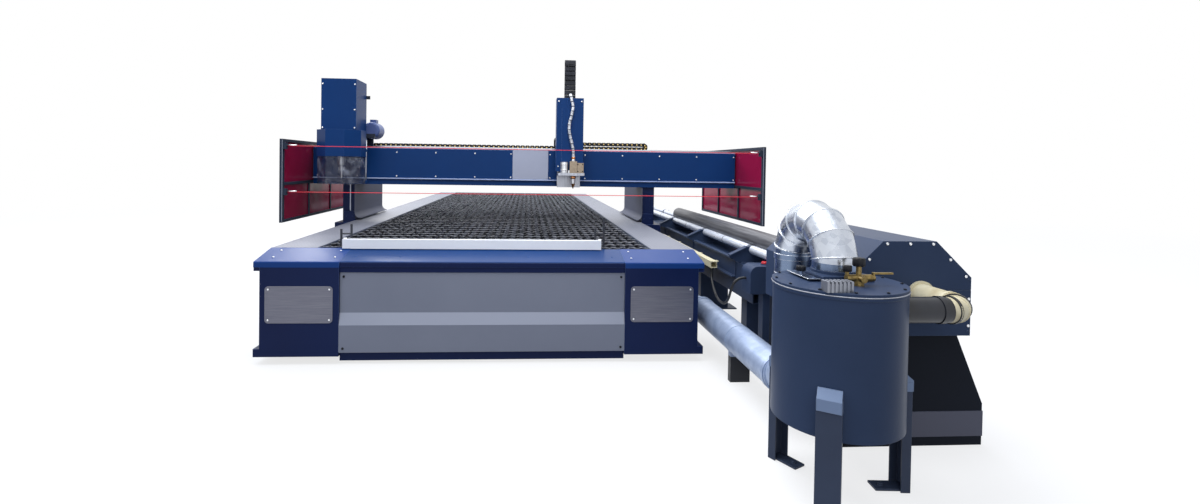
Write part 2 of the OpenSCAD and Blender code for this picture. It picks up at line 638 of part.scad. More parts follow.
// torch head
module torch_saddle() color([0.2, 0.22, 0.27]) tab() {
  saddle(col_x0 + 4.3, col_x1 - 4.3, torch_z + 204, column_z - 8);
  // arm that takes the end of the beam chain
  blk([col_x0 + 60, gantry_t + beam_d - 130, beam_top + 104.3],
    [col_x0 + 130, gantry_t + beam_d - 50, beam_top + 131]);
  // lift rails
  for (x = [col_x0 + 60, col_x1 - 80])
    blk([x, gantry_t - 125, torch_z + 210], [x + 20, gantry_t - 109, column_z - 30]);
}
module torch_column() color(blue) tab() difference() {
  z0 = torch_z + 194;
  union() {
    blk([col_x0, col_t, z0], [col_x1, gantry_t - 110.3, column_z]);
    // fold lips at the sides that clasp the back plate
    blk([col_x0, gantry_t - 112, z0], [col_x0 + 4, gantry_t - 85, column_z]);
    blk([col_x1 - 4, gantry_t - 112, z0], [col_x1, gantry_t - 85, column_z]);
    for (x = [col_x0 + 24, col_x1 - 24], z = [z0 + 60, column_z - 40]) bar_y(x, col_t - 3, col_t + 2, z, 7);
    // slotted stiffeners
    blk([col_x0 + 60, col_t - 2.5, z0 + 120], [col_x0 + 64, col_t + 1, column_z - 120]);
  }
  blk([col_x0 + 4, col_t + 4, z0 - 1], [col_x1 - 4, gantry_t - 100, column_z - 4]);
  blk([col_x0 + 95, col_t + 60, column_z - 10], [col_x1 - 95, gantry_t - 130, column_z + 5]);
}
module lift_chain() color([0.06, 0.06, 0.07]) tab() {
  x = (col_x0 + col_x1) / 2;
  t = gantry_t - 200;
  for (i = [0:5]) blk([x - 64, t, column_z + i * 70], [x + 64, t + 70, column_z + i * 70 + 60]);
  blk([x - 50, t + 10, column_z], [x + 50, t + 60, column_z + 415]);
  bar_x(x - 64, x + 64, t + 10, column_z + 415, 42);
}
module torch_slide() color([0.5, 0.52, 0.56]) tab() difference() {
  union() {
    blk([col_x0 + 20, gantry_t - 155, torch_z + 6], [col_x1 - 20, gantry_t - 137, torch_z + 650]);
    // shelf under the column
    blk([col_x0 + 20, gantry_t - 385, shelf_z], [col_x1 + 10, gantry_t - 150, shelf_z + 30]);
    for (x = [col_x0 + 70, col_x1 - 70], z = [torch_z + 320, torch_z + 560])
      blk([x - 26, gantry_t - 140, z], [x + 26, gantry_t - 111, z + 70]);
  }
  for (x = [col_x0 + 70, col_x1 - 70])
    blk([x - 10.5, gantry_t - 125.5, torch_z], [x + 10.5, gantry_t - 100, torch_z + 700]);
  translate([torch_x, gantry_t - 335, shelf_z - 1]) cylinder(r = torch_r + 0.05, h = 60);
}
module torch_clamp() color([0.55, 0.42, 0.28]) tab() difference() {
  z = shelf_z + 30;
  union() {
    blk([torch_x - 43, gantry_t - 375, z], [torch_x + 42, gantry_t - 300, z + 136]);
    blk([torch_x + 44, gantry_t - 370, z], [torch_x + 118, gantry_t - 310, z + 118]);
    translate([torch_x - 104, gantry_t - 340, z]) cylinder(r = 46, h = 126);
    blk([torch_x - 60, gantry_t - 345, z], [torch_x + 60, gantry_t - 325, z + 30]);
  }
  translate([torch_x, gantry_t - 335, z - 1]) cylinder(r = torch_r + 0.05, h = 300);
}
module plasma_torch() color([0.72, 0.5, 0.3]) tab() translate([torch_x, gantry_t - 335, torch_z]) {
  rotate_extrude() polygon([[0, 0], [6, 0], [13, 24], [21, 50], [torch_r, 56], [torch_r, 330], [16, 345],
    [16, 362], [0, 362]]);
}

// drilling head
module drill_saddle() color([0.2, 0.22, 0.27]) tab() {
  saddle(dx0 + 4.3, dx1 - 60, head_z1 + 12, drill_top - 6);
  blk([dx1 - 62, gantry_t - 110, beam_top + 100], [dx1 - 4.3, gantry_t - 90, drill_top - 6]);
  for (x = [dx0 + 90, dx1 - 110])
    blk([x, gantry_t - 125, head_z1 + 12], [x + 20, gantry_t - 109, drill_top - 30]);
  // arm that carries the motor
  blk([dx1 - 20, gantry_t - 108, beam_top + 100], [dx1 + 100, gantry_t - 90, beam_top + 150]);
  blk([dx1 - 8, gantry_t - 104, drill_top - 180], [dx1 + 40, gantry_t - 96, drill_top - 140]);
}
module drill_column() color(blue) tab() difference() {
  z0 = head_z1 + 3;
  union() {
    blk([dx0, drill_t - 140, z0], [dx1, gantry_t - 110.3, drill_top]);
    blk([dx0, gantry_t - 112, z0], [dx0 + 4, gantry_t - 85, drill_top]);
    for (x = [dx0 + 16, dx1 - 16], z = [z0 + 20, (z0 + drill_top) / 2 - 60, drill_top - 60])
      bar_y(x, drill_t - 143, drill_t - 138, z, 7);
  }
  blk([dx0 + 4, drill_t - 136, z0 - 1], [dx1 - 4, gantry_t - 100, drill_top - 4]);
}
// an eight-sided prism across its flats
module octo(af, z0, z1)
  translate([-drill_x, drill_t, z0]) rotate([0, 0, 22.5]) cylinder(r = af / 2 / cos(22.5), h = z1 - z0, $fn = 8);
module drill_head() color(blue) tab() {
  difference() {
    octo(head_af, head_z0, head_z1);
    octo(head_af - 10, head_z0 - 1, head_z1 - 6);
    translate([-drill_x, drill_t, head_z0 - 5]) cylinder(r = spindle_r + 20, h = head_h + 10);
  }
  // bearing tube of the spindle
  difference() {
    translate([-drill_x, drill_t, head_z0 + 20]) cylinder(r = spindle_r + 24, h = head_h - 24);
    translate([-drill_x, drill_t, head_z0]) cylinder(r = spindle_r + 0.05, h = head_h + 10);
  }
  difference() {
    octo(head_af - 8, head_z0 + 20, head_z0 + 32);
    translate([-drill_x, drill_t, head_z0]) cylinder(r = spindle_r + 20, h = 60);
  }
  // plate that rises inside the column
  difference() {
    union() {
      blk([dx0 + 60, gantry_t - 155, head_z1 - 60], [dx1 - 80, gantry_t - 137, drill_top - 80]);
      for (x = [dx0 + 100, dx1 - 100], z = [head_z1 + 150, head_z1 + 380])
        blk([x - 26, gantry_t - 140, z], [x + 26, gantry_t - 111, z + 60]);
    }
    for (x = [dx0 + 100, dx1 - 100])
      blk([x - 10.5, gantry_t - 125.5, head_z1 + 100], [x + 10.5, gantry_t - 100, drill_top]);
  }
  // guide rod with its fitting
  translate([-drill_x + 225, drill_t + 150, head_z0 - skirt_h + 10]) cylinder(r = 9, h = skirt_h + 200);
  translate([-drill_x + 225, drill_t + 150, head_z0 - skirt_h + 10]) cylinder(r = 17, h = 26);
  blk([-drill_x + 200, drill_t + 130, head_z0 + 60], [-drill_x + 240, drill_t + 165, head_z0 + 90]);
}
module drill_skirt() color([0.75, 0.8, 0.85, 0.4]) tab() difference() {
  octo(head_af - 11, head_z0 - skirt_h, head_z0 + 19.7);
  octo(head_af - 19, head_z0 - skirt_h - 1, head_z0 + 30);
}
module drill_spindle() color(steel) tab() translate([-drill_x, drill_t, head_z0 - 250]) {
  rotate_extrude() polygon([[0, 0], [3, 4], [12, 12], [12, 90], [26, 92], [26, 150], [spindle_r, 156],
    [spindle_r, 246 + head_h], [0, 246 + head_h]]);
  for (a = [0, 180]) rotate([0, 0, a]) translate([24, -6, 100]) cube([8, 12, 30]);
}
module drill_motor() color([0.3, 0.36, 0.5]) tab() {
  x = dx1 + 48;
  z = beam_top + 192;
  // can with a domed front and a smaller fan cover behind
  translate([x, gantry_t - 89.7, z]) rotate([-90, 0, 0]) rotate_extrude() polygon(concat(
    [for (a = [0:15:90]) [motor_r - motor_round * (1 - sin(a)), motor_round * (1 - cos(a))]],
    [[motor_r, motor_l], [motor_r - 14, motor_l], [motor_r - 14, motor_l + 35], [0, motor_l + 35],
      [0, 0]]));
  blk([x - 30, gantry_t - 20, z + 90], [x + 40, gantry_t + 80, z + 130]);
}

// pipe station
module bench_frame() color(slate) tab() {
  l = arm_pitch * (arm_n - 1) + 700;
  difference() {
    blk([pipe_x - 200, 121, bench_z0], [pipe_x + 200, l, bench_z1]);
    blk([pipe_x - 194, 110, bench_z0 + 6], [pipe_x + 194, l + 10, bench_z1 - 6]);
  }
  for (i = [0:arm_n - 1]) let (t = bench_t + i * arm_pitch) {
    blk([pipe_x - 150, t - 60, 12], [pipe_x + 150, t + 60, bench_z0]);
    blk([pipe_x - 230, t - 110, 0], [pipe_x + 230, t + 110, 12]);
    // side channels between the arms
    if (i < arm_n - 1) difference() {
      blk([pipe_x - 238, t + 70, 560], [pipe_x - 200, t + arm_pitch - 70, 735]);
      blk([pipe_x - 240, t + 64, 575], [pipe_x - 206, t + arm_pitch - 64, 720]);
    }
  }
  // floor sleepers towards the table
  for (t = [bench_t + arm_pitch, bench_t + 2 * arm_pitch])
    blk([pipe_x - 470, t - 60, 0], [pipe_x - 225, t + 60, 40]);
}
module bench_arms() color(slate) tab() for (i = [0:arm_n - 1]) let (t = bench_t + i * arm_pitch) {
  difference() {
    union() {
      along_y(t - 8, t + 8) translate([pipe_x, pipe_z - 887])
        polygon([[-290, 745], [-290, 770], [-140, 842], [-70, 842], [-55, 775], [55, 775],
          [70, 842], [140, 842], [290, 770], [290, 745], [200, 700.3], [-200, 700.3]]);
      // sloped top flanges
      for (s = [-1, 1]) along_y(t - 30, t + 30) translate([pipe_x, pipe_z - 887])
        polygon([[s*290, 764], [s*290, 774], [s*141, 846], [s*141, 836]]);
    }
    for (s = [-1, 1]) bar_y(pipe_x + s * roller_dx, t - 50, t + 50, roller_z, 15.05);
  }
  blk([pipe_x - 190, t - 30, 700.3], [pipe_x + 190, t + 30, 708]);
}
// a shaft with chrome rolls between the arms
module roller_line(s) {
  x = pipe_x + s * roller_dx;
  l = arm_pitch * (arm_n - 1) + bench_t;
  bar_y(x, -50, l + 60, roller_z, 15);
  difference() {
    union() {
      bar_y(x, -50, bench_t - 40, roller_z, roller_r);
      for (i = [0:arm_n - 2])
        bar_y(x, bench_t + 40 + i * arm_pitch, bench_t - 40 + (i + 1) * arm_pitch, roller_z, roller_r);
    }
    for (i = [0:arm_n - 2]) translate([x, bench_t + (i + 0.5) * arm_pitch, roller_z]) rotate([90, 0, 0])
      difference() {
      cylinder(r = roller_r + 2, h = 14, center = true);
      cylinder(r = roller_r - 4, h = 16, center = true);
    }
  }
}
module roller_near() color([0.8, 0.81, 0.84]) tab() roller_line(-1);
module roller_far() color([0.8, 0.81, 0.84]) tab() roller_line(1);
module bench_cover() color(slate) tab() {
  x0 = pipe_x - 295;
  x1 = pipe_x - 75;
  difference() {
    union() {
      blk([x0, -60, cover_z0], [x1, 120.7, cover_z1 - cover_r]);
      blk([x0 + cover_r, -60, cover_z1 - cover_r - 5], [x1, 120.7, cover_z1]);
      bar_y(x0 + cover_r, -60, 120.7, cover_z1 - cover_r, cover_r);
    }
    blk([x0 + 4, -56, cover_z0 - 4], [x1 - 4, 130, cover_z1 - cover_r - 5]);
  }
  blk([x1 - 110, -40, 12], [x1 - 30, 40, cover_z1 - cover_r - 3]);
  blk([x1 - 150, -80, 0], [x1, 90, 12]);
  translate([x0 + 150, 30, cover_z1 - 1]) difference() {
    cylinder(r = estop_r + 7, h = 9);
    translate([0, 0, 1]) cylinder(r = estop_r + 0.3, h = 10);
  }
}
module estop_button() color([0.8, 0.05, 0.08]) tab() translate([pipe_x - 145, 30, estop_z]) {
  rotate_extrude() polygon([[0, 0], [estop_r, 0], [estop_r, 15], [estop_r - 3, 19], [0, 19]]);
}
module cable_tray() color([0.9, 0.86, 0.72]) tab() {
  difference() {
    blk([pipe_x - 355, cable_t0, cable_z0], [pipe_x - 295, cable_t0 + cable_l, cable_z0 + cable_h]);
    blk([pipe_x - 350, cable_t0 - 10, cable_z0 + 5],
      [pipe_x - 300, cable_t0 + cable_l + 10, cable_z0 + cable_h - 8]);
  }
  for (t = [120, 600, 1400, 1900])
    blk([pipe_x - 296, cable_t0 + t, cable_z0 + 36], [pipe_x - 238.3, cable_t0 + t + 50, cable_z0 + 42]);
}

// separator drum
module drum_shell() color(slate) tab() translate([drum_x, -drum_t, 0]) difference() {
  union() {
    translate([0, 0, drum_z0]) cylinder(r = drum_r, h = drum_z1 - drum_z0, $fn = 96);
    translate([0, 0, drum_z1 - 16]) cylinder(r = drum_r + 4, h = 12, $fn = 96);
  }
  translate([0, 0, drum_z0 + 6]) cylinder(r = drum_r - 6, h = drum_z1, $fn = 96);
  bar_x(0, 600, side_t + drum_t, side_z, side_r + 0.3);
}
module drum_lid() color(slate) tab() translate([drum_x, -drum_t, 0]) {
  difference() {
    union() {
      translate([0, 0, drum_z1]) cylinder(r = drum_r + 3, h = 14, $fn = 96);
      translate([0, 0, drum_z1 - 12]) cylinder(r = drum_r - 6.3, h = 14, $fn = 96);
      // gate box and collar under the front riser
      translate([duct_x - drum_x - 125, 92 - 125, drum_z1 + 14]) cube([250, 250, gate_z - drum_z1 + 1]);
      translate([duct_x - drum_x, 92, gate_z + 15]) cylinder(r = duct_r + 6, h = bend_z - gate_z - 15.3);
    }
    translate([0, 0, drum_z1 - 20]) cylinder(r = drum_r - 12, h = 20, $fn = 96);
    translate([duct_x - drum_x, 92, drum_z1 - 30]) cylinder(r = duct_r - 10, h = 100);
    translate([duct_x - drum_x, 92, gate_z + 15]) cylinder(r = duct_r + 0.3, h = 40);
    // slot for the gate blade
    translate([duct_x - drum_x - 130, 92 - 110.5, gate_z - 1]) cube([242, 221, 5]);
  }
  // lid screws
  for (a = [0:30:330]) rotate([0, 0, a + 15]) translate([drum_r - 14, 0, drum_z1 + 13])
    cylinder(r = 6, h = 5, $fn = 20);
}
module drum_legs() color([0.13, 0.14, 0.17]) tab() translate([drum_x, -drum_t, 0])
  for (a = [236, 356, 118]) rotate([0, 0, a]) {
  d = drum_r + 0.3;
  // channel that stands open towards the drum
  linear_extrude(leg_top - 44) polygon([[d, -52], [d + 44, -52], [d + 44, 52], [d, 52], [d, 46],
    [d + 38, 46], [d + 38, -46], [d, -46]]);
  // sloped light cap
  translate([0, 50, 0]) rotate([90, 0, 0]) linear_extrude(100) translate([d, leg_top])
    polygon([[0, -48], [0, 0], [8, 0], [50, -36], [50, -88], [41, -88], [41, -48]]);
  // foot plate that points inward with its bolt
  blk([d - 110, -37, 0], [d + 41, 37, 10]);
  translate([d - 70, 0, 9]) cylinder(r = 12, h = 12, $fn = 24);
}
module gate_blade() color(galv) tab() {
  difference() {
    translate([duct_x - 190, riser1_t - 110, gate_z]) cube([200, 220, 3]);
    translate([duct_x + 95, riser1_t, gate_z - 5]) cylinder(r = duct_r - 8, h = 10);
  }
  translate([duct_x - 172, riser1_t, gate_z + 3]) cylinder(r = 8, h = 18);
  translate([duct_x - 172, riser1_t, gate_z + 21]) cylinder(r = 20, h = 22);
}
module valve_body() color([0.48, 0.42, 0.28]) tab() {
  z = drum_z1 + 14;
  x = drum_x + 40;
  t = -drum_t - 100;
  translate([x, t, z]) cylinder(r = 24, h = 34);
  bar_x(x - 60, x + 60, t, z + 34, 17);
  bar_y(x, t - 48, t, z + 34, 15);
  translate([x, t, z + 34]) cylinder(r = 12, h = 60);
  translate([x, t, z + 90]) cylinder(r = 24, h = 34);
  translate([x - 55, t, z + 34]) cylinder(r = 9, h = 36);
  translate([x - 55, t, z + 66]) cylinder(r = 17, h = 24);
  // ribbed block on the rim
  for (i = [0:6])
    blk([drum_x - 190 + i * 18, -drum_t - 250, z], [drum_x - 180 + i * 18, -drum_t - 195, z + 48]);
  blk([drum_x - 190, -drum_t - 245, z], [drum_x - 72, -drum_t - 200, z + 36]);
}
module valve_lever() color([0.1, 0.1, 0.11]) tab() translate([drum_x + 40, -drum_t - 100, drum_z1 + 48]) {
  difference() {
    translate([60.3, 0, 0]) rotate([0, 90, 0]) cylinder(r = 14, h = 14);
    translate([59, 0, 0]) rotate([0, 90, 0]) cylinder(r = 4, h = 4);
  }
  translate([66, -7, 0]) cube([8, 14, 26]);
  translate([66, -7, 18]) cube([96, 14, 8]);
}

// ducts
// a straight duct along Z with rolled seams
module duct_up(x, t, z0, z1, r) difference() {
  union() {
    translate([x, t, z0]) cylinder(r = r, h = z1 - z0);
    for (z = [z0 + 70:200:z1 - 60]) translate([x, t, z]) cylinder(r = r + 3, h = 8);
  }
  translate([x, t, z0 - 1]) cylinder(r = r - duct_w, h = z1 - z0 + 2);
}
module top_bend() color(galv) tab() {
  duct_up(duct_x, riser1_t, gate_z + 15.3, bend_z - 0.3, duct_r);
  translate([duct_x, riser1_t + ubend_r, bend_z]) rotate([90, 0, 90])
    gore_bend(ubend_r, duct_r, duct_w, 180, gores);
  duct_up(duct_x, riser2_t, duct_z + elbow_r + 0.3, bend_z - 0.3, duct_r);
  translate([duct_x, riser2_t, bend_z]) collar(duct_r, -20, 9);
}
module floor_duct() color([0.6, 0.61, 0.65]) tab() {
  e0 = riser2_t + elbow_r;
  e1 = outlet_t - table_bend_r;
  // elbow from the riser to the floor line
  translate([duct_x, e0, duct_z + elbow_r]) rotate([90, 0, 90]) rotate([0, 0, 180])
    gore_bend(elbow_r, duct_r, duct_w, 90, 4);
  difference() {
    union() {
      bar_y(duct_x, e0 + 0.3, e1 - 0.3, duct_z, duct_r);
      bar_y(duct_x, -400, -390, duct_z, duct_r + 3);
    }
    bar_y(duct_x, e0 - 10, e1 + 10, duct_z, duct_r - duct_w);
  }
  translate([duct_x, e0, duct_z]) rotate([-90, 0, 0]) collar(duct_r, -9, 20);
  translate([duct_x, e1, duct_z]) rotate([-90, 0, 0]) collar(duct_r, -20, 6);
  // elbow into the table and the spigot
  x = duct_x - table_bend_r;
  translate([x, e1, duct_z]) gore_bend(table_bend_r, duct_r, duct_w, 90, 4);
  difference() {
    bar_x(frame_x - 20, x - 0.3, outlet_t, duct_z, duct_r);
    bar_x(frame_x - 30, x + 5, outlet_t, duct_z, duct_r - duct_w);
  }
  translate([x, outlet_t, duct_z]) rotate([0, 90, 0]) collar(duct_r, -20, 6);
  // floor saddle
  difference() {
    blk([duct_x - 70, -420, 0], [duct_x + 70, -370, duct_z - 40]);
    bar_y(duct_x, -430, -360, duct_z, duct_r + 1);
  }
  blk([duct_x - 70, -400, duct_z - duct_r - 4], [duct_x + 70, -390, duct_z - duct_r + 3]);
}
module side_duct() color([0.08, 0.08, 0.09]) tab() difference() {
  x0 = drum_x + drum_r - 30;
  x1 = side_x - side_bend_r - 0.3;
  union() {
    bar_x(x0, x1, side_t, side_z, side_r);
    bar_x(x1 - 50, x1 - 25, side_t, side_z, side_r + 4);
  }
  bar_x(x0 - 10, x1 + 5, side_t, side_z, side_r - duct_w);
}
module side_elbow() color([0.9, 0.86, 0.72]) tab() {
  t = side_t + side_bend_r;
  translate([side_x - side_bend_r, t, side_z]) rotate([0, 0, -90])
    gore_bend(side_bend_r, side_r, duct_w + 1, 90, 5);
  difference() {
    union() {
      bar_y(side_x, t + 0.3, -house_t - 0.3, side_z, side_r);
      bar_y(side_x, -house_t - 12, -house_t - 0.3, side_z, side_r + 14);
    }
    bar_y(side_x, t - 12, -house_t + 10, side_z, side_r - duct_w - 1);
  }
  translate([side_x, t, side_z]) rotate([-90, 0, 0]) collar(side_r, -7, 12);
}
// outline of the chuck housing seen from the front, drawn in by o
module house_outline(o) translate([pipe_x, 0]) polygon([
  [-house_w/2 + o, house_z0 + o], [house_w/2 - o, house_z0 + o], [house_w/2 - o, house_z1 - o/2],
  [house_flat - o/2, house_z2 - o], [-house_flat + o/2, house_z2 - o], [-house_w/2 + o, house_z1 - o/2]]);
module housing() color(slate) tab() {
  y0 = -house_t;
  y1 = -house_t + house_l;
  xs = house_w/2 - 14;
  difference() {
    union() {
      along_y(y0, y1) house_outline(0);
      // screws round the front
      for (s = [-1, 1], z = [house_z1 - 12, house_z1 - 150, house_z0 + 22])
        bar_y(pipe_x + s * xs, y0 - 3, y0 + 1, z, 6);
      for (s = [-1, 0, 1]) bar_y(pipe_x + s * (house_flat - 12), y0 - 3, y0 + 1, house_z2 - 14, 6);
    }
    along_y(y0 + 5, y1 - 8) house_outline(6);
    bar_y(pipe_x, y1 - 20, y1 + 5, pipe_z, 92.05);
    bar_y(side_x, y0 - 5, y0 + 20, side_z, side_r - 3);
    // seam between cover and body
    blk([pipe_x - house_w, y0 - 1, house_z1 - 69], [pipe_x + house_w, y0 + 2, house_z1 - 66]);
  }
}
// half section of the pedestal, straight towards the ducts and sloped on the far side, drawn in by o
module pedestal_outline(o) translate([pipe_x, 0]) polygon([[-house_w/2 + 4 + o, o], [foot_x - o, o],
  [foot_x - o, foot_z - o/2], [house_w/2 - 4 - o, house_z0 - 0.3 - o],
    [-house_w/2 + 4 + o, house_z0 - 0.3 - o]]);
module pedestal() color([0.12, 0.14, 0.18]) tab() {
  y0 = -house_t + 100;
  y1 = -house_t + house_l - 60;
  difference() {
    along_y(y0, y1) pedestal_outline(0);
    along_y(y0 + 6, y1 - 6) pedestal_outline(6);
  }
  // light band round the foot
  blk([pipe_x - house_w/2 + 1, y0 - 3, 50], [pipe_x + foot_x + 3, y0 + 2, 190]);
  blk([pipe_x + foot_x - 2, y0 - 3, 50], [pipe_x + foot_x + 3, y1, 190]);
}
module chuck() color(steel) tab() {
  y = -house_t + house_l;
  difference() {
    union() {
      bar_y(pipe_x, y + 3, y + 75, pipe_z, chuck_r);
      bar_y(pipe_x, y - 30, y + 4, pipe_z, 92);
      bar_y(pipe_x, y + 70, y + 82, pipe_z, chuck_r - 20);
    }
    bar_y(pipe_x, y - 31, y + 90, pipe_z, pipe_r + 0.3);
    for (a = [90, 210, 330]) translate([pipe_x, y + 60, pipe_z]) rotate([0, -a, 0]) translate([60, 0, -18])
      cube([200, 40, 36]);
    for (a = [30, 150, 270]) translate([pipe_x, y + 62, pipe_z]) rotate([0, -a, 0]) translate([118, 0, 0])
      rotate([-90, 0, 0]) cylinder(r = 9, h = 40);
  }
}
module jaw(a) color([0.35, 0.36, 0.38]) tab() translate([pipe_x, -house_t + house_l + 60.3, pipe_z])
  rotate([0, -a, 0]) {
  translate([pipe_r + 0.3, 0, -17.7]) cube([chuck_r - pipe_r - 14, 70, 35.4]);
  translate([pipe_r + 22, 0, -17.7]) cube([chuck_r - pipe_r - 22, 40, 35.4]);
}
module jaw_a() jaw(90);
module jaw_b() jaw(210);
module jaw_c() jaw(330);
module pipe_blank() color([0.28, 0.29, 0.31]) tab() {
  y = -house_t + house_l - 28;
  difference() {
    bar_y(pipe_x, y, y + pipe_l, pipe_z, pipe_r);
    bar_y(pipe_x, y - 1, y + pipe_l + 1, pipe_z, pipe_r - 5);
  }
}

// leads: a closed tube of n sides through hand-set points
function unit(v) = v / norm(v);
module lead(pts, r, n, ref) {
  m = len(pts);
  dirs = [for (i = [0:m-1]) unit(pts[min(i + 1, m - 1)] - pts[max(i - 1, 0)])];
  ring = [for (i = [0:m-1]) for (k = [0:n-1]) let (s = unit(cross(dirs[i], ref)), u = cross(dirs[i], s))
    pts[i] + r * (cos(360 * k / n) * s + sin(360 * k / n) * u)];
  polyhedron(ring, concat(
    [[for (k = [0:n-1]) n - 1 - k]], [[for (k = [0:n-1]) (m - 1) * n + k]],
    [for (i = [0:m-2]) for (k = [0:n-1]) [i*n + k, i*n + (k + 1) % n, (i + 1)*n + (k + 1) % n,
      (i + 1)*n + k]]), convexity = 6);
}
// a point on a smooth curve through four points
function cr(a, b, c, d, t) = 0.5 * ((2*b) + (c - a)*t + (2*a - 5*b + 4*c - d)*t*t + (3*b - a - 3*c + d)*t*t*t);
function curve(p, k) = [for (i = [0:len(p)-2]) for (j = [0:k-1])
  cr(p[max(i-1, 0)], p[i], p[i+1], p[min(i+2, len(p)-1)], j / k), p[len(p)-1]];
module torch_lead() color([0.85, 0.86, 0.88]) tab()
  translate([torch_x, gantry_t - 335, torch_z]) lead(curve(torch_route, 2), lead_r, 12, [1, 0.1, 0.1]);
module bench_hose() color([0.05, 0.05, 0.06]) tab()
  translate([pipe_x, 0, 0]) lead(hose_route, 10, 10, [1, 0, -1]);

base_frame();
body_shell();
cabinet_left();
cabinet_right();
cap_mid();
front_panel();
badge_plates();
walkways();
slat_frame();
slat_bed();
suction_trays();
rails_and_racks();
squaring_bar();
gantry_beam();
beam_covers();
beam_cover_mid();
gantry_legs();
leg_shields();
guard_frames();
guard_panels();
beam_chain();
beam_rails();
torch_saddle();
torch_column();
lift_chain();
torch_slide();
torch_clamp();
plasma_torch();
torch_lead();
drill_saddle();
drill_column();
drill_head();
drill_skirt();
drill_spindle();
drill_motor();
bench_frame();
bench_arms();
roller_near();
roller_far();
bench_cover();
cable_tray();
estop_button();
bench_hose();
drum_shell();
drum_lid();
drum_legs();
gate_blade();
valve_body();
valve_lever();
top_bend();
floor_duct();
side_duct();
side_elbow();
housing();
pedestal();
chuck();
jaw_a();
jaw_b();
jaw_c();
pipe_blank();
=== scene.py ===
import bpy
import math
import numpy as np
from mathutils import Matrix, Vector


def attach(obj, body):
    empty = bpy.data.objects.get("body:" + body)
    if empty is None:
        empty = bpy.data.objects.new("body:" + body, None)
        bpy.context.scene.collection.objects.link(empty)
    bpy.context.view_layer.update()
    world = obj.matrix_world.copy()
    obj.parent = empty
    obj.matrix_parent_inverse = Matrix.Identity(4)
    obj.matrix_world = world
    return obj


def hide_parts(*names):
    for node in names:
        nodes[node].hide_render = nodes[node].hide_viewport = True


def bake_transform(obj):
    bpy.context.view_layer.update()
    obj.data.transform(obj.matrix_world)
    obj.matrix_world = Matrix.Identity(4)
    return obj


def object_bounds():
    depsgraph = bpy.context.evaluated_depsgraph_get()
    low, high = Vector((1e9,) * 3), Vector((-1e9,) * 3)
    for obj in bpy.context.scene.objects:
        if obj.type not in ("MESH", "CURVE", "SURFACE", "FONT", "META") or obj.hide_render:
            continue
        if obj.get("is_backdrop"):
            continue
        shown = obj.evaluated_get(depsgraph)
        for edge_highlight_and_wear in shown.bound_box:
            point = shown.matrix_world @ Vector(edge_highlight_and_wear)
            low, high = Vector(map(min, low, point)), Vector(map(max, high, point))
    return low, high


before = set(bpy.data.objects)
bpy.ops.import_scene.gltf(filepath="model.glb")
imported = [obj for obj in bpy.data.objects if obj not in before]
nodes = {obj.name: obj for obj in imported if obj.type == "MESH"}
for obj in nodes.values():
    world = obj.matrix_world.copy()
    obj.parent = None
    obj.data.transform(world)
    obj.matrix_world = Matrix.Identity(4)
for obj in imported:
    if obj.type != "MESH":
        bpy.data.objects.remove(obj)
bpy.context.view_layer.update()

# The photographer stood in front of the table at eye height, a little right of
# its middle, and turned slightly towards the pipe station. The picture was cut
# off centre, so the lens is shifted.
yaw, pitch, roll = 0.0657, 0.0153, 0.0148
eye = [0.3146, -8.9195, 1.5217]
ahead = np.array([math.sin(yaw) * math.cos(pitch), math.cos(yaw) * math.cos(pitch), -math.sin(pitch)])
level = np.array([math.cos(yaw), -math.sin(yaw), 0.0])
below = np.cross(ahead, level)
right = math.cos(roll) * level - math.sin(roll) * below
below = math.sin(roll) * level + math.cos(roll) * below
camera = bpy.data.objects.new("camera", bpy.data.cameras.new("camera"))
camera.data.lens = 16.80
camera.data.sensor_width = 36
camera.data.shift_x, camera.data.shift_y = 0.0297, -0.0657
camera.data.clip_end = 300
turned_to_view = np.column_stack([right, -below, -ahead, eye])
camera.matrix_world = Matrix(np.vstack([turned_to_view, [0, 0, 0, 1]]).tolist())
bpy.context.scene.collection.objects.link(camera)
bpy.context.scene.camera = camera

# The torch hose carries gas, current and water in one sleeve of silvered glass
# cloth. It is clipped to the tail of the torch, hangs in a lazy S in front of
# the column, and goes over its top into the lift chain.
FRONT = -4.65   # the front face of the table, from which lengths are measured


def linear(code):
    """The linear colour of an sRGB hex code: below 0.04045 the value over 12.92, above it ((v + 0.055)
    / 1.055) to the power 2.4."""
    v = np.array([int(code[i:i + 2], 16) for i in (1, 3, 5)]) / 255
    return tuple(np.where(v <= 0.04045, v / 12.92, ((v + 0.055) / 1.055) ** 2.4)) + (1.0,)


def add(finish, kind, inputs={}, **settings):
    """Adds a node to a finish, sets it, and fills or links its inputs. A node as a value stands for its
    first output."""
    made = finish.node_tree.nodes.new("ShaderNode" + kind)
    for key, value in settings.items():
        setattr(made, key, value)
    for key, value in inputs.items():
        if isinstance(value, bpy.types.Node):
            value = value.outputs[0]
        if isinstance(value, bpy.types.NodeSocket):
            finish.node_tree.links.new(value, made.inputs[key])
        else:
            made.inputs[key].default_value = value
    return made


def new_finish(name):
    """A finish without nodes."""
    finish = bpy.data.materials.new(name)
    finish.use_nodes = True
    finish.node_tree.nodes.clear()
    return finish


def tones(finish, marks, low, high, dark, light):
    """A colour from dark to light, two hex codes, as the marks of a pattern rise from low to high."""
    share = add(finish, "MapRange", {"Value": marks, "From Min": low, "From Max": high})
    return add(finish, "Mix", {0: share, 6: linear(dark), 7: linear(light)}, data_type="RGBA").outputs[2]


def quads(rows, columns):
    """Corner numbers of the quads of a grid of points, row by row. The last column joins the first."""
    i, j = np.mgrid[0:rows - 1, 0:columns]
    k = (j + 1) % columns
    row, next_row = i * columns, (i + 1) * columns
    return np.stack([row + j, row + k, next_row + k, next_row + j], -1).reshape(-1, 4)


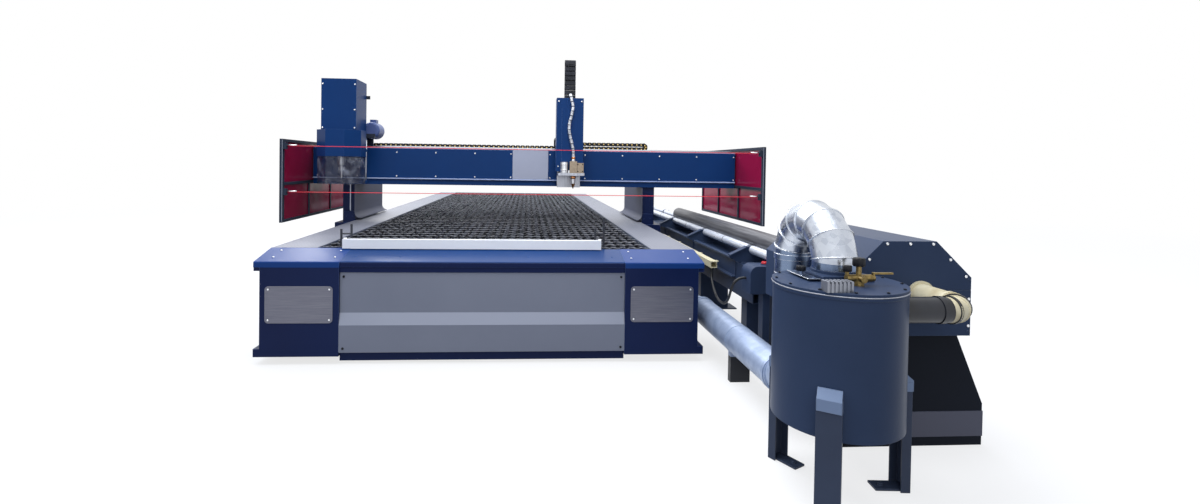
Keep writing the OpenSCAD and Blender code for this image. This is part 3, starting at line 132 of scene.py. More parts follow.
def through(points, k):
    """A smooth curve through the points. From b to c, with a before and d after them, at t from 0 to 1:
    half of 2b + (c - a) t + (2a - 5b + 4c - d) t^2 + (3b - a - 3c + d) t^3."""
    p = np.array(points, float)
    n = np.arange(len(p) - 1)
    a, b, c, d = p[np.maximum(n - 1, 0)], p[n], p[n + 1], p[np.minimum(n + 2, len(p) - 1)]
    t = (np.arange(k) / k)[:, None, None]
    run = 0.5 * (2 * b + (c - a) * t + (2 * a - 5 * b + 4 * c - d) * t ** 2
        + (3 * b - a - 3 * c + d) * t ** 3)
    return np.vstack([run.transpose(1, 0, 2).reshape(-1, 3), p[-1:]])


def tube(path, radius, sides=16, away=(1, 0.1, 0.1)):
    """A closed tube along a path: each ring is path + radius (cos a side + sin a up), where side = path
    direction x away, and up = direction x side."""
    path = np.asarray(path, float)
    forward = np.gradient(path, axis=0)
    forward /= np.linalg.norm(forward, axis=1)[:, None]
    side = np.cross(forward, away)
    side /= np.linalg.norm(side, axis=1)[:, None]
    up = np.cross(forward, side)
    a = np.arange(sides) / sides * 2 * np.pi
    r = np.broadcast_to(np.reshape(radius, (-1, 1, 1)), (len(path), 1, 1))
    ring = path[:, None] + r * (np.cos(a)[:, None] * side[:, None] + np.sin(a)[:, None] * up[:, None])
    ends = [list(range(sides))[::-1], list(range((len(path) - 1) * sides, len(path) * sides))]
    return ring.reshape(-1, 3), quads(len(path), sides).tolist() + ends


def piece(name, points, faces, finish, slot, body=None, smooth=True, along=None):
    """Puts points and faces into a mesh at the origin, gives it its finish, and lets it ride on a
    body. slot is not used. along, one number a point, is kept as the attribute of that name."""
    mesh = bpy.data.meshes.new(name)
    mesh.from_pydata(np.asarray(points, float).tolist(), [], [list(f) for f in faces])
    mesh.polygons.foreach_set("use_smooth", np.full(len(mesh.polygons), smooth))
    if along is not None:
        lengths = mesh.attributes.new("along", "FLOAT", "POINT")
        lengths.data.foreach_set("value", np.asarray(along, np.float32))
    mesh.materials.append(finish)
    made = bpy.data.objects.new(name, mesh)
    bpy.context.scene.collection.objects.link(made)
    if body:
        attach(made, body)
    return made


# Silvered glass cloth: a plain braid of 4 mm bundles, drawn 9 mm wide to show,
# with a soft metallic sheen and creases where it bends. A dark tie goes round it
# every 55 mm.
bundle_pitch, tie_pitch = 0.018, 0.055
sleeve = new_finish("silvered_glass_braid")
at = add(sleeve, "TexCoord").outputs["Object"]
run = add(sleeve, "Attribute", attribute_name="along")
wave = add(sleeve, "Math", {0: run.outputs["Fac"], 1: 2 * math.pi / bundle_pitch}, operation="MULTIPLY")
weave = add(sleeve, "Math", {0: wave}, operation="SINE")
crease = add(sleeve, "TexNoise", {"Vector": at, "Scale": 22, "Detail": 5})
cloth = tones(sleeve, crease, 0.35, 0.65, "#9EA3AD", "#E4E6EA")
turns = add(sleeve, "Math", {0: run.outputs["Fac"], 1: 1 / tie_pitch}, operation="MULTIPLY")
share = add(sleeve, "Math", {0: turns}, operation="FRACT")
tie = add(sleeve, "Math", {0: share, 1: 0.8}, operation="GREATER_THAN")
colour = add(sleeve, "Mix", {0: tie, 6: cloth, 7: linear("#565B66")}, data_type="RGBA").outputs[2]
relief = add(sleeve, "Math", {0: weave, 1: 0.25, 2: crease}, operation="MULTIPLY_ADD")
bump = add(sleeve, "Bump", {"Height": relief, "Strength": 0.5, "Distance": 0.004})
skin = add(sleeve, "BsdfPrincipled", {"Base Color": colour, "Metallic": 0.35, "Roughness": 0.42,
    "Normal": bump})
add(sleeve, "OutputMaterial", {0: skin})

torch_axis = np.array([0.843, FRONT + 2.215, 1.246])
hose_line = through(torch_axis + 0.001 * np.array([
    [0, 0, 362.3], [-2, -2, 430], [-20, -8, 520], [-48, -4, 640], [-52, 0, 740], [-30, -2, 840],
    [-12, 0, 940], [-26, 0, 1010], [-34, 6, 1058], [-39, 42, 1090], [-41, 88, 1094], [-41, 134.7, 1094]]), 10)
run_length = np.concatenate([[0], np.cumsum(np.linalg.norm(np.diff(hose_line, axis=0), axis=1))])
points, faces = tube(hose_line, 0.017 * (0.97 + 0.03 * np.cos(run_length * 2 * np.pi / tie_pitch)), 20)
hose = piece("torch_hose", points, faces, sleeve, "lead_sleeve", along=np.repeat(run_length, 20))
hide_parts("torch_lead")
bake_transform(hose)

# The hydraulic hose of the roller lift is black rubber with steel braid inside.
# It leaves a crimped fitting on the end cover, hangs in a loop clear of the
# floor and comes up into the cable tray. 1.05 m long, 20 mm across.
rubber = new_finish("moulded_black_rubber")
at = add(rubber, "TexCoord").outputs["Object"]
grain = add(rubber, "TexNoise", {"Vector": at, "Scale": 120, "Detail": 3})
dust = add(rubber, "TexNoise", {"Vector": at, "Scale": 5, "Detail": 4})
colour = tones(rubber, dust, 0.35, 0.75, "#141518", "#34363A")
bump = add(rubber, "Bump", {"Height": grain, "Strength": 0.2, "Distance": 0.001})
skin = add(rubber, "BsdfPrincipled", {"Base Color": colour, "Roughness": 0.45, "Normal": bump})
add(rubber, "OutputMaterial", {0: skin})
bench_x = 2.340
loop = through([bench_x, FRONT, 0] + 0.001 * np.array([
    [-295.3, 30, 650], [-306, 30, 650], [-317, 30, 650], [-352, 31, 642], [-381, 35, 619], [-398, 44, 585],
    [-404, 68, 530], [-402, 112, 470], [-398, 180, 420], [-390, 270, 391], [-381, 365, 382],
    [-371, 455, 388], [-360, 545, 409], [-349, 630, 443], [-338, 704, 486], [-331, 742, 516],
    [-326, 763, 551], [-325, 770, 587], [-325, 770, 595.5], [-325, 770, 603.7]]), 4)
points, faces = tube(loop, 0.010, 16, (1, 0, -1))
bench_hose = piece("roller_lift_hose", points, faces, rubber, "black_rubber", "table")
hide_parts("bench_hose")

# The frame under the table is welded from square tube and painted satin black,
# the same paint as the frame round the bed and the drum legs, whose tops end in
# a grey cap. The light guards have a newer and deeper coat.


def banded(finish, at, colour, band):
    """A colour that changes inside a band: band is an axis, a low and a high place along it, and the
    hex code of the paint there."""
    if not band:
        return colour
    axis, low, high, paint = band
    place = add(finish, "SeparateXYZ", {0: at})
    above = add(finish, "Math", {0: place.outputs[axis], 1: low}, operation="GREATER_THAN")
    under = add(finish, "Math", {0: place.outputs[axis], 1: high}, operation="LESS_THAN")
    inside = add(finish, "Math", {0: above, 1: under}, operation="MULTIPLY")
    return add(finish, "Mix", {0: inside, 6: colour, 7: linear(paint)}, data_type="RGBA").outputs[2]


def powder_coat(name, base, light, highlight_and_wear, gloss=0.42, edge=0.004, band=None, shine=0.2, metal=0.0):
    """Baked powder paint on sheet steel: a fine orange peel, about 2 mm and drawn 11 mm wide to show,
    slow changes of tone where dust lies, and corners painted a shade lighter, a painted highlight
    with some wear, found where the rounded normal leaves the flat one."""
    finish = new_finish(name)
    at = add(finish, "TexCoord").outputs["Object"]
    flat = add(finish, "NewGeometry")
    peel = add(finish, "TexNoise", {"Vector": at, "Scale": 90, "Detail": 2})
    cloud = add(finish, "TexNoise", {"Vector": at, "Scale": 1.1, "Detail": 5, "Roughness": 0.6})
    rounded = add(finish, "Bevel", {"Radius": edge}, samples=4)
    turn = add(finish, "VectorMath", {0: rounded, 1: flat.outputs["Normal"]}, operation="DOT_PRODUCT")
    # Corners are painted lighter: a painted highlight with some wear.
    edge_highlight_and_wear = add(finish, "MapRange", {"Value": turn.outputs["Value"], "From Min": 0.8, "From Max": 0.985,
        "To Min": 0.5, "To Max": 0.0})
    colour = tones(finish, cloud, 0.3, 0.7, base, light)
    colour = banded(finish, at, colour, band)
    worn = add(finish, "Mix", {0: edge_highlight_and_wear, 6: colour, 7: linear(highlight_and_wear)}, data_type="RGBA").outputs[2]
    sheen = add(finish, "MapRange", {"Value": cloud, "From Min": 0.3, "From Max": 0.7,
        "To Min": gloss - 0.05, "To Max": gloss + 0.06})
    bump = add(finish, "Bump", {"Height": peel, "Normal": rounded, "Strength": 0.12, "Distance": 0.002})
    skin = add(finish, "BsdfPrincipled", {"Base Color": worn, "Roughness": sheen, "Normal": bump,
        "Specular IOR Level": shine, "Metallic": metal})
    add(finish, "OutputMaterial", {0: skin})
    return finish


def give(finish, *names):
    """The CAD nodes keep their shape and take this finish."""
    for name in names:
        for socket in nodes[name].material_slots:
            socket.material = finish


black_frame = powder_coat("satin_black_paint", "#2F3749", "#394357", "#667084", 0.45)
give(black_frame, "base_frame", "slat_frame")
give(powder_coat("satin_black_guard_paint", "#262D3B", "#303848", "#4A5366", 0.45, shine=0.1), "guard_frames")
give(powder_coat("satin_black_paint_with_grey_cap", "#2F3749", "#394357", "#667084", 0.45,
    band=(2, 0.4805, 0.6, "#7585A0")), "drum_legs")

# The table's body and end cabinets are folded sheet steel, powder coated in
# semi-gloss blue and painted dark as painted shade, as are the gantry legs. The
# sloped caps catch the light, and a band over them is painted lighter as painted
# light. The beam, the columns and the middle cap have the same coat painted
# lighter as painted light, with painted shade on the middle cap's front lip.
give(powder_coat("semi_gloss_blue_powder_coat", "#0F1C42", "#13224A", "#5F7CBE", 0.36, shine=0.12),
    "gantry_legs")
give(powder_coat("semi_gloss_blue_with_lit_caps", "#0F1C42", "#13224A", "#7C97D0", 0.36, shine=0.12,
    band=(2, 0.7275, 0.84, "#163A78")), "body_shell", "cabinet_left", "cabinet_right")
give(powder_coat("lit_blue_with_shaded_lip", "#0E3468", "#123A71", "#6A8CC8", 0.36, shine=0.1,
    band=(2, 0.689, 0.7665, "#101D44")), "cap_mid")
give(powder_coat("lit_blue_powder_coat", "#0E3468", "#123A71", "#6A8CC8", 0.36, shine=0.1), "gantry_beam",
    "beam_covers", "torch_column", "drill_column", "drill_head")


def turned(profile, sides=14):
    """A solid turned about Z. Each (r, z) of the profile goes round: x = r cos a, y = r sin a. The
    first and last r are 0, and each is one pole."""
    p = np.array(profile, float)
    a = np.arange(sides) / sides * 2 * np.pi
    r, z = p[1:-1, 0, None], p[1:-1, 1, None]
    ring = np.stack([r * np.cos(a), r * np.sin(a), z + 0 * a], -1).reshape(-1, 3)
    points = np.vstack([[[0, 0, p[0, 1]]], ring, [[0, 0, p[-1, 1]]]])
    q = quads(len(p) - 2, sides) + 1
    j = np.arange(sides)
    k = (j + 1) % sides
    last = 1 + (len(p) - 3) * sides
    return points, np.vstack([q[:, [0, 1, 2]], q[:, [0, 2, 3]], np.stack([0 * j, 1 + k, 1 + j], -1),
        np.stack([last + j, last + k, 0 * j + len(points) - 1], -1)])


def copies(part, places):
    """The same small part at each place: its points moved there, its corner numbers counted on."""
    points, tris = part
    places = np.atleast_2d(np.array(places, float))
    return ((points[None] + places[:, None]).reshape(-1, 3),
        (tris[None] + len(points) * np.arange(len(places))[:, None, None]).reshape(-1, 3))


def joined(*parts):
    """Several parts as one set of points and triangles."""
    start = np.cumsum([0] + [len(p) for p, t in parts[:-1]])
    return np.vstack([p for p, t in parts]), np.vstack([t + s for (p, t), s in zip(parts, start)])


def facing_front(part):
    """The part with its Z axis turned to face the operator: y' = -z, z' = y."""
    points, tris = part
    return points[:, [0, 2, 1]] * [1, -1, 1], tris


def button_head(r, h):
    """A button-head screw with its hexagon hole: a dome of radius r and height h, dished in the middle."""
    return turned([(0, -0.001), (r, -0.001), (r, 0.25 * h), (0.86 * r, 0.7 * h), (0.62 * r, 0.95 * h),
        (0.46 * r, h), (0.42 * r, 0.55 * h), (0, 0.5 * h)])


# The ledge along the beam and its top edge are the same painted sheet, painted
# pale blue as a painted highlight and rubbed bright by cloths and hands. Each is
# a thin strip laid on the fold.
highlight_and_wear = powder_coat("highlight_and_worn_blue_powder_coat", "#8C9CC4", "#A9B7D8", "#C8D2E8", 0.3, 0.002)
edge_x = np.array([-2.2195, 2.8895])
ledge = np.array([[2.5346, 1.3212], [2.5346, 1.3288], [2.5466, 1.3352], [2.5470, 1.3344], [2.5352, 1.3280],
    [2.5352, 1.3212]])
rim = np.array([[2.5464, 1.6860], [2.5464, 1.6972], [2.5470, 1.6972], [2.5470, 1.6860]])
for name, shape in (("beam_ledge", ledge), ("beam_top_edge", rim)):
    n = len(shape)
    points = [[x, FRONT + t, z] for x in edge_x for t, z in shape]
    sides = [[i, i + n, (i + 1) % n + n, (i + 1) % n] for i in range(n)]
    piece(name, points, sides + [list(range(n)), list(range(n, 2 * n))[::-1]], highlight_and_wear, "blue_paint",
        "gantry", False)

# Zinc-plated button-head screws hold the covers. They are the bright dots that
# run along the beam, the columns and the caps.


def bright_metal(name, dark, light, rough, streak=(30, 30, 30), metallic=1.0, relief=0.1, band=None):
    """Bare or plated metal: a metallic skin whose tone and gloss follow the marks left by how it was
    made. streak gives how many marks fit in a metre along each axis."""
    finish = new_finish(name)
    at = add(finish, "TexCoord").outputs["Object"]
    scale = add(finish, "Mapping", {"Vector": at, "Scale": streak})
    marks = add(finish, "TexNoise", {"Vector": scale, "Scale": 1.0, "Detail": 4, "Roughness": 0.6})
    colour = tones(finish, marks, 0.3, 0.7, dark, light)
    colour = banded(finish, at, colour, band)
    gloss = add(finish, "MapRange", {"Value": marks, "From Min": 0.3, "From Max": 0.7,
        "To Min": rough + 0.07, "To Max": rough - 0.05})
    rounded = add(finish, "Bevel", {"Radius": 0.0015}, samples=4)
    bump = add(finish, "Bump", {"Height": marks, "Normal": rounded, "Strength": relief, "Distance": 0.002})
    skin = add(finish, "BsdfPrincipled", {"Base Color": colour, "Metallic": metallic, "Roughness": gloss,
        "Normal": bump})
    add(finish, "OutputMaterial", {0: skin})
    return finish


zinc = bright_metal("zinc_plated_screw", "#C9CCD2", "#F2F3F5", 0.32, (400, 400, 400))
screw = facing_front(button_head(0.009, 0.0035))
beam_x = np.array([-2.169, -1.708, -1.247, -0.786, -0.321, 0.111, 0.586, 1.013, 1.475, 1.936, 2.401, 2.869])
spots = np.array([[x, FRONT + 2.544, z] for x in beam_x for z in (1.357, 1.640)])
piece("beam_screws", *copies(screw, spots), zinc, "rail_steel", "gantry")
spots = [[x, FRONT + 2.257, z] for x in (0.669, 0.936) for z in (1.50, 2.26)]
piece("torch_column_screws", *copies(screw, spots), zinc, "rail_steel", "torch_carriage")
spots = [[x, FRONT + 2.047, z] for x in (-1.940, -1.595) for z in (1.893, 2.0925, 2.372)]
piece("drill_column_screws", *copies(screw, spots), zinc, "rail_steel", "drill_carriage")
cap_rise, cap_run = 0.059, 0.277
slope = math.atan2(cap_rise, cap_run)
lean = np.array([[1, 0, 0], [0, math.cos(slope), -math.sin(slope)], [0, math.sin(slope), math.cos(slope)]])
points, tris = button_head(0.008, 0.003)
spots = [[s * x, FRONT + t, 0.772 + (t - 0.014) / cap_run * cap_rise + 0.003] for s in (-1, 1)
    for x in (1.140, 1.595) for t in (0.09, 0.23)]
piece("cap_screws", *copies((points @ lean.T, tris), spots), zinc, "rail_steel", "table")

# The front panel is one sheet with a sloped facet across it, silver-grey with a
# satin powder coat full of metal flake. The facet faces up and is painted lighter
# as painted light. The same paint is on the beam's middle cover, and a duller one
# on the shields. Black screws hold the corners.
give(powder_coat("satin_silver_powder_coat", "#747988", "#7B808F", "#B4B8C4", 0.36, 0.003, metal=0.15,
    band=(2, 0.2942, 0.3848, "#9398A7")), "front_panel")
give(powder_coat("clean_silver_powder_coat", "#898FA3", "#9197AA", "#CDD1DD", 0.34, 0.003, metal=0.6),
    "beam_cover_mid")
give(powder_coat("dull_silver_powder_coat", "#3F4458", "#4C5165", "#8A8FA2", 0.5, 0.003, metal=0.2),
    "leg_shields")
blackened = bright_metal("blackened_screw", "#15161A", "#2A2C31", 0.4, (400, 400, 400))
black_screw = facing_front(button_head(0.0095, 0.004))
spots = [[s * 1.0494, FRONT + t, z] for s in (-1, 1) for t, z in ((0.014, 0.658), (-0.003, 0.120))]
piece("panel_screws", *copies(black_screw, spots), blackened, "black_handle", "table")

# The two badge plates are anodised aluminium with brushed lines along them and a
# shallow border. They stay bare. Four bright rivets hold each one.
badge = bright_metal("brushed_anodised_aluminium", "#5E5F6D", "#74757F", 0.42, (6, 90, 420), 0.75, 0.05)
give(badge, "badge_plates")
rivet = facing_front(turned([(0, -0.001), (0.0075, -0.001), (0.0072, 0.001), (0.0055, 0.0026),
    (0.003, 0.0034), (0, 0.0036)]))
spots = [[s * 1.370 + i * 0.222, FRONT - 0.0045, 0.450 + j * 0.1145]
    for s in (-1, 1) for i in (-1, 1) for j in (-1, 1)]
piece("badge_rivets", *copies(rivet, spots), zinc, "rail_steel", "table")

# The walkways are light-grey plates pressed with rows of small studs, so that
# boots don't slip. The studs stand 28 mm apart and are rubbed bright on top,
# with dirt between them.
stud_pitch = 0.028
walk = new_finish("painted_studded_plate")
at = add(walk, "TexCoord").outputs["Object"]
cell = add(walk, "VectorMath", {0: at, 1: (math.pi / stud_pitch, math.pi / stud_pitch, 0)},
    operation="MULTIPLY")
wave = add(walk, "VectorMath", {0: cell}, operation="SINE")
xyz = add(walk, "SeparateXYZ", {0: wave})
product = add(walk, "Math", {0: xyz.outputs[0], 1: xyz.outputs[1]}, operation="MULTIPLY")
stud = add(walk, "Math", {0: product}, operation="ABSOLUTE")
top = add(walk, "MapRange", {"Value": stud, "From Min": 0.45, "From Max": 0.8},
    interpolation_type="SMOOTHSTEP")
scuff = add(walk, "TexNoise", {"Vector": at, "Scale": 2.2, "Detail": 6, "Roughness": 0.65})
dirt = add(walk, "MapRange", {"Value": scuff, "From Min": 0.35, "From Max": 0.7, "To Min": 0.15,
    "To Max": 0.75})
ground = add(walk, "Mix", {0: dirt, 6: linear("#787A86"), 7: linear("#62656F")}, data_type="RGBA").outputs[2]
colour = add(walk, "Mix", {0: top, 6: ground, 7: linear("#999CA6")}, data_type="RGBA").outputs[2]
bump = add(walk, "Bump", {"Height": top, "Strength": 0.5, "Distance": 0.0015})
skin = add(walk, "BsdfPrincipled", {"Base Color": colour, "Metallic": 0.15, "Roughness": 0.5, "Normal": bump})
add(walk, "OutputMaterial", {0: skin})
give(walk, "walkways")

# The zig-zag slats are mild steel strips, bent cold in 33 waves each. The flanks
# that face left are painted lighter and the others darker, as painted light and
# shade. The top edges are painted near white, a painted highlight over bright
# steel where plates slide, and the arc has nicked them.
slats = new_finish("scaled_mild_steel_slats")
at = add(slats, "TexCoord").outputs["Object"]
high = add(slats, "SeparateXYZ", {0: at})
scale = add(slats, "TexNoise", {"Vector": at, "Scale": 34, "Detail": 6, "Roughness": 0.7})
patch = add(slats, "TexNoise", {"Vector": at, "Scale": 3.5, "Detail": 4})
nick = add(slats, "Math", {0: scale, 1: 0.016, 2: high.outputs[2]}, operation="MULTIPLY_ADD")
rim = add(slats, "MapRange", {"Value": nick, "From Min": 0.8275, "From Max": 0.8355})
tone = add(slats, "MapRange", {"Value": patch, "From Min": 0.35, "From Max": 0.65})
flank = add(slats, "NewGeometry")
facing_x = add(slats, "SeparateXYZ", {0: flank.outputs["Normal"]})
# clean is the share of the flanks that face left, which are painted lighter as painted light.
clean = add(slats, "MapRange", {"Value": facing_x.outputs[0], "From Min": 0.3, "From Max": -0.3})
shade = add(slats, "Mix", {0: tone, 6: linear("#101115"), 7: linear("#212228")}, data_type="RGBA").outputs[2]
lit_tone = add(slats, "Mix", {0: tone, 6: linear("#44464D"), 7: linear("#62656E")}, data_type="RGBA").outputs[2]
body_tone = add(slats, "Mix", {0: clean, 6: shade, 7: lit_tone}, data_type="RGBA").outputs[2]
colour = add(slats, "Mix", {0: rim, 6: body_tone, 7: linear("#E4E6EC")}, data_type="RGBA").outputs[2]
bump = add(slats, "Bump", {"Height": scale, "Strength": 0.35, "Distance": 0.003})
skin = add(slats, "BsdfPrincipled", {"Base Color": colour, "Metallic": 0.3, "Roughness": 0.42,
    "Normal": bump})
add(slats, "OutputMaterial", {0: skin})
count, waves = 48, 33
pitch, sway, thick, foot, crest = 0.18, 0.022, 0.005, 0.730, 0.826
corners = 6 * waves + 1
place = np.arange(corners) / 3
swing = sway * (1 - 2 * np.abs(place % 2 - 1))
slat_y = FRONT + 0.415 + pitch * np.arange(count)[:, None]
nicks = 0.007 * np.random.default_rng(3).random((count, corners)) ** 5
ring = np.zeros((count, corners, 4, 3))
ring[..., 0] = (-1.336 + 2.672 * place / (2 * waves))[None, :, None]
ring[..., 1] = (slat_y + swing)[..., None] + [0, thick, thick, 0]
ring[..., 2] = foot
ring[..., 2:, 2] = (crest - nicks)[..., None]
one = np.vstack([quads(corners, 4), [[3, 2, 1, 0]], 4 * corners - 4 + np.arange(4)[None]])
all_faces = (one[None] + 4 * corners * np.arange(count)[:, None, None]).reshape(-1, 4)
zigzag = piece("zigzag_slats", ring.reshape(-1, 3), all_faces, slats, "slat_steel", "table", False)
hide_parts("slat_bed")

# Under the slats hang the suction trays, hot-rolled sheet with dust and slag in
# the corners. The rails and the racks on the table sides are ground steel with
# a film of oil.
tray = new_finish("smoked_hot_rolled_sheet")
at = add(tray, "TexCoord").outputs["Object"]
soot = add(tray, "TexNoise", {"Vector": at, "Scale": 4, "Detail": 7, "Roughness": 0.7})
slag = add(tray, "TexVoronoi", {"Vector": at, "Scale": 60})
colour = tones(tray, soot, 0.35, 0.65, "#26262B", "#4B4644")
bump = add(tray, "Bump", {"Height": slag, "Strength": 0.4, "Distance": 0.003})
skin = add(tray, "BsdfPrincipled", {"Base Color": colour, "Metallic": 0.2, "Roughness": 0.7, "Normal": bump})
add(tray, "OutputMaterial", {0: skin})
give(tray, "suction_trays")
ground_steel = bright_metal("ground_steel", "#8F939C", "#BFC3CB", 0.28, (200, 2, 200), 1.0, 0.04)
give(ground_steel, "rails_and_racks", "beam_rails", "drill_spindle")

# The squaring bar is a white painted channel on two pairs of dark clamp posts. The
# operator pushes the first sheet against it.
white = powder_coat("matt_white_paint", "#EFF0F3", "#F7F8FA", "#FBFBFC", 0.5, 0.002,
    band=(1, FRONT + 0.2995, FRONT + 0.5, "#3A3C42"))
give(white, "squaring_bar")

# A light curtain guards each end of the gantry. Its frame is black, its panes
# are crimson acrylic sheet, and two thin red beams cross the bed from sensor to
# sensor.
acrylic = new_finish("cast_crimson_acrylic")
at = add(acrylic, "TexCoord").outputs["Object"]
film = add(acrylic, "TexNoise", {"Vector": at, "Scale": 6, "Detail": 5, "Roughness": 0.6})
smear = add(acrylic, "MapRange", {"Value": film, "From Min": 0.35, "From Max": 0.65, "To Min": 0.06,
    "To Max": 0.2})
skin = add(acrylic, "BsdfPrincipled", {"Base Color": linear("#8C0C38"), "Roughness": smear, "IOR": 1.49,
    "Specular IOR Level": 0.15, "Alpha": 0.95})
add(acrylic, "OutputMaterial", {0: skin})
give(acrylic, "guard_panels")
beam_light = new_finish("red_light_beam")
at = add(beam_light, "TexCoord").outputs["Object"]
flicker = add(beam_light, "TexNoise", {"Vector": at, "Scale": 2, "Detail": 1})
tone = add(beam_light, "Mix", {0: flicker, 6: linear("#A81626"), 7: linear("#CC2A38")},
    data_type="RGBA").outputs[2]
skin = add(beam_light, "BsdfPrincipled", {"Base Color": linear("#C02030"), "Emission Color": tone,
    "Emission Strength": 0.45, "Roughness": 0.5})
add(beam_light, "OutputMaterial", {0: skin})
curtain_y = FRONT + 1.735
for z, name in ((1.675, "upper_light_beam"), (1.195, "lower_light_beam")):
    line = np.array([[x, curtain_y, z] for x in np.linspace(-2.178, 2.848, 24)])
    piece(name, *tube(line, 0.0034, 8, (0, 0, 1)), beam_light, "red_panel", "gantry")
strip = bright_metal("extruded_aluminium", "#7A8090", "#9AA0AE", 0.35, (300, 300, 3))


def slab(outline, y0, y1):
    """A flat plate: an outline in x and z, counter-clockwise from the front, made solid from y0 back to
    y1. Each end is a fan about its middle."""
    o = np.array(outline, float)
    n = len(o)
    front = np.column_stack([o[:, 0], np.full(n, y0), o[:, 1]])
    back = front + [0, y1 - y0, 0]
    points = np.vstack([front, back, front.mean(0), back.mean(0)])
    i = np.arange(n)
    k = (i + 1) % n
    return points, np.vstack([np.stack([k, i, i + n], -1), np.stack([k, i + n, k + n], -1),
        np.stack([0 * i + 2 * n, i, k], -1), np.stack([0 * i + 2 * n + 1, k + n, i + n], -1)])


def bar(low, high):
    """A square bar between two corners."""
    return slab([[low[0], low[2]], [high[0], low[2]], [high[0], high[2]], [low[0], high[2]]], low[1], high[1])


# Pale strips cover the edges of the guard posts, and a pale cable duct runs up
# the front of the left leg. The sensors sit in short bright tubes.
reveals = [bar((-1.797, FRONT + 2.563, 0.935), (-1.785, FRONT + 2.568, 1.250))]
reveals += [bar((x, FRONT + 1.7095, 0.885), (x + 0.005, FRONT + 1.714, 1.737)) for x in (-2.2255, 2.8905)]
piece("guard_post_reveals", *joined(*reveals), strip, "rail_steel", "gantry", False)
for side_name, ends in (("left", (-2.188, -2.085)), ("right", (2.758, 2.858))):
    for z, height_name in ((1.683, "upper"), (1.203, "lower")):
        line = np.array([[x, curtain_y, z] for x in np.linspace(*ends, 3)])
        piece(height_name + "_" + side_name + "_sensor", *tube(line, 0.007, 12, (0, 0, 1)), zinc,
            "rail_steel", "gantry")

# The energy chain is nylon, black, with a round yellow plug in the side of each
# link. It lies in a tray on the beam, folds over, and comes back to the torch.


def moulded_nylon(name, clean, dusty):
    """Glass-filled nylon with a fine moulded grain, 1 mm and drawn 6 mm wide to show, and dust in patches."""
    finish = new_finish(name)
    at = add(finish, "TexCoord").outputs["Object"]
    grain = add(finish, "TexNoise", {"Vector": at, "Scale": 160, "Detail": 2})
    dust = add(finish, "TexNoise", {"Vector": at, "Scale": 9, "Detail": 4})
    colour = tones(finish, dust, 0.4, 0.75, clean, dusty)
    bump = add(finish, "Bump", {"Height": grain, "Strength": 0.15, "Distance": 0.001})
    skin = add(finish, "BsdfPrincipled", {"Base Color": colour, "Roughness": 0.48,
        "Specular IOR Level": 0.2, "Normal": bump})
    add(finish, "OutputMaterial", {0: skin})
    return finish


nylon = moulded_nylon("moulded_black_nylon", "#14151A", "#24262D")
dusty_nylon = moulded_nylon("dusty_black_nylon", "#171A21", "#2B2E39")
plug = new_finish("yellow_moulded_plug")
at = add(plug, "TexCoord").outputs["Object"]
grain = add(plug, "TexNoise", {"Vector": at, "Scale": 90, "Detail": 2})
tone = add(plug, "Mix", {0: grain, 6: linear("#E0B040"), 7: linear("#FFE39A")}, data_type="RGBA").outputs[2]
skin = add(plug, "BsdfPrincipled", {"Base Color": tone, "Roughness": 0.4})
add(plug, "OutputMaterial", {0: skin})


def link(length, height, width):
    """One chain link about the origin, its run along x: two side plates with cut corners, two crossbars."""
    a, b, c = length / 2, height / 2, 0.009
    plate = [[-a + c, -b], [a - c, -b], [a, -b + c], [a, b - c], [a - c, b], [-a + c, b], [-a, b - c],
        [-a, -b + c]]
    w, inner = width / 2, width / 2 - 0.008
    return joined(slab(plate, -w, -inner), slab(plate, inner, w),
        bar((-0.022, -inner, b - 0.005), (0.022, inner, b - 0.001)),
        bar((-0.022, -inner, -b + 0.001), (0.022, inner, -b + 0.005)))


def laid(part, x, z, angle, y):
    """Copies of a part turned by angle in the x-z plane and set at (x, y, z): x' = x + px cos - pz sin,
    z' = z + px sin + pz cos."""
    p, t = part
    x, z, angle = (np.asarray(v, float)[:, None] for v in (x, z, angle))
    cos, sin = np.cos(angle), np.sin(angle)
    q = np.stack([x + p[:, 0] * cos - p[:, 2] * sin, y + p[:, 1] + 0 * x,
        z + p[:, 0] * sin + p[:, 2] * cos], -1)
    return q.reshape(-1, 3), (t[None] + len(p) * np.arange(len(x))[:, None, None]).reshape(-1, 3)


link_pitch, fold_x, fold_z, fold_r = 0.06, 1.780, 1.754, 0.029
low_x = -1.580 + 0.03 + link_pitch * np.arange(56)
fold = np.radians([-58, 0, 58])
high_x = fold_x - 0.03 - link_pitch * np.arange(18)
chain_x = np.concatenate([low_x, fold_x + fold_r * np.cos(fold), high_x])
chain_z = np.concatenate([0 * low_x + 1.7295, fold_z + fold_r * np.sin(fold), 0 * high_x + 1.783])
chain_a = np.concatenate([0 * low_x, fold + np.pi / 2, 0 * high_x + np.pi])
low = len(low_x)
parts = [laid(link(0.057, h, 0.1), chain_x[k], chain_z[k], chain_a[k], FRONT + 2.81)
    for h, k in ((0.049, slice(0, low)), (0.041, slice(low, None)))]
parts += [bar((-1.59, FRONT + 2.757, 1.700), (1.82, FRONT + t, z))
    for t, z in ((2.760, 1.716), (2.864, 1.7035))]
beam_chain = piece("beam_energy_chain", *joined(*parts), nylon, "chain_plastic", "gantry", False)
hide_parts("beam_chain")
dot_profile = [(0, -0.002), (0.0095, -0.002), (0.0095, 0.0012), (0.0080, 0.002), (0, 0.0022)]
dot = facing_front(turned(dot_profile, 12))
piece("chain_plugs", *copies(dot, np.column_stack([chain_x, 0 * chain_x + FRONT + 2.76, chain_z])), plug,
    "cream_paint", "gantry")
rise = np.linspace(2.318, 2.708, 8)
turn = np.radians([20, 90, 160])
bend_r = 0.024
lift_s = np.concatenate([rise, 2.715 + bend_r * np.sin(turn), rise])
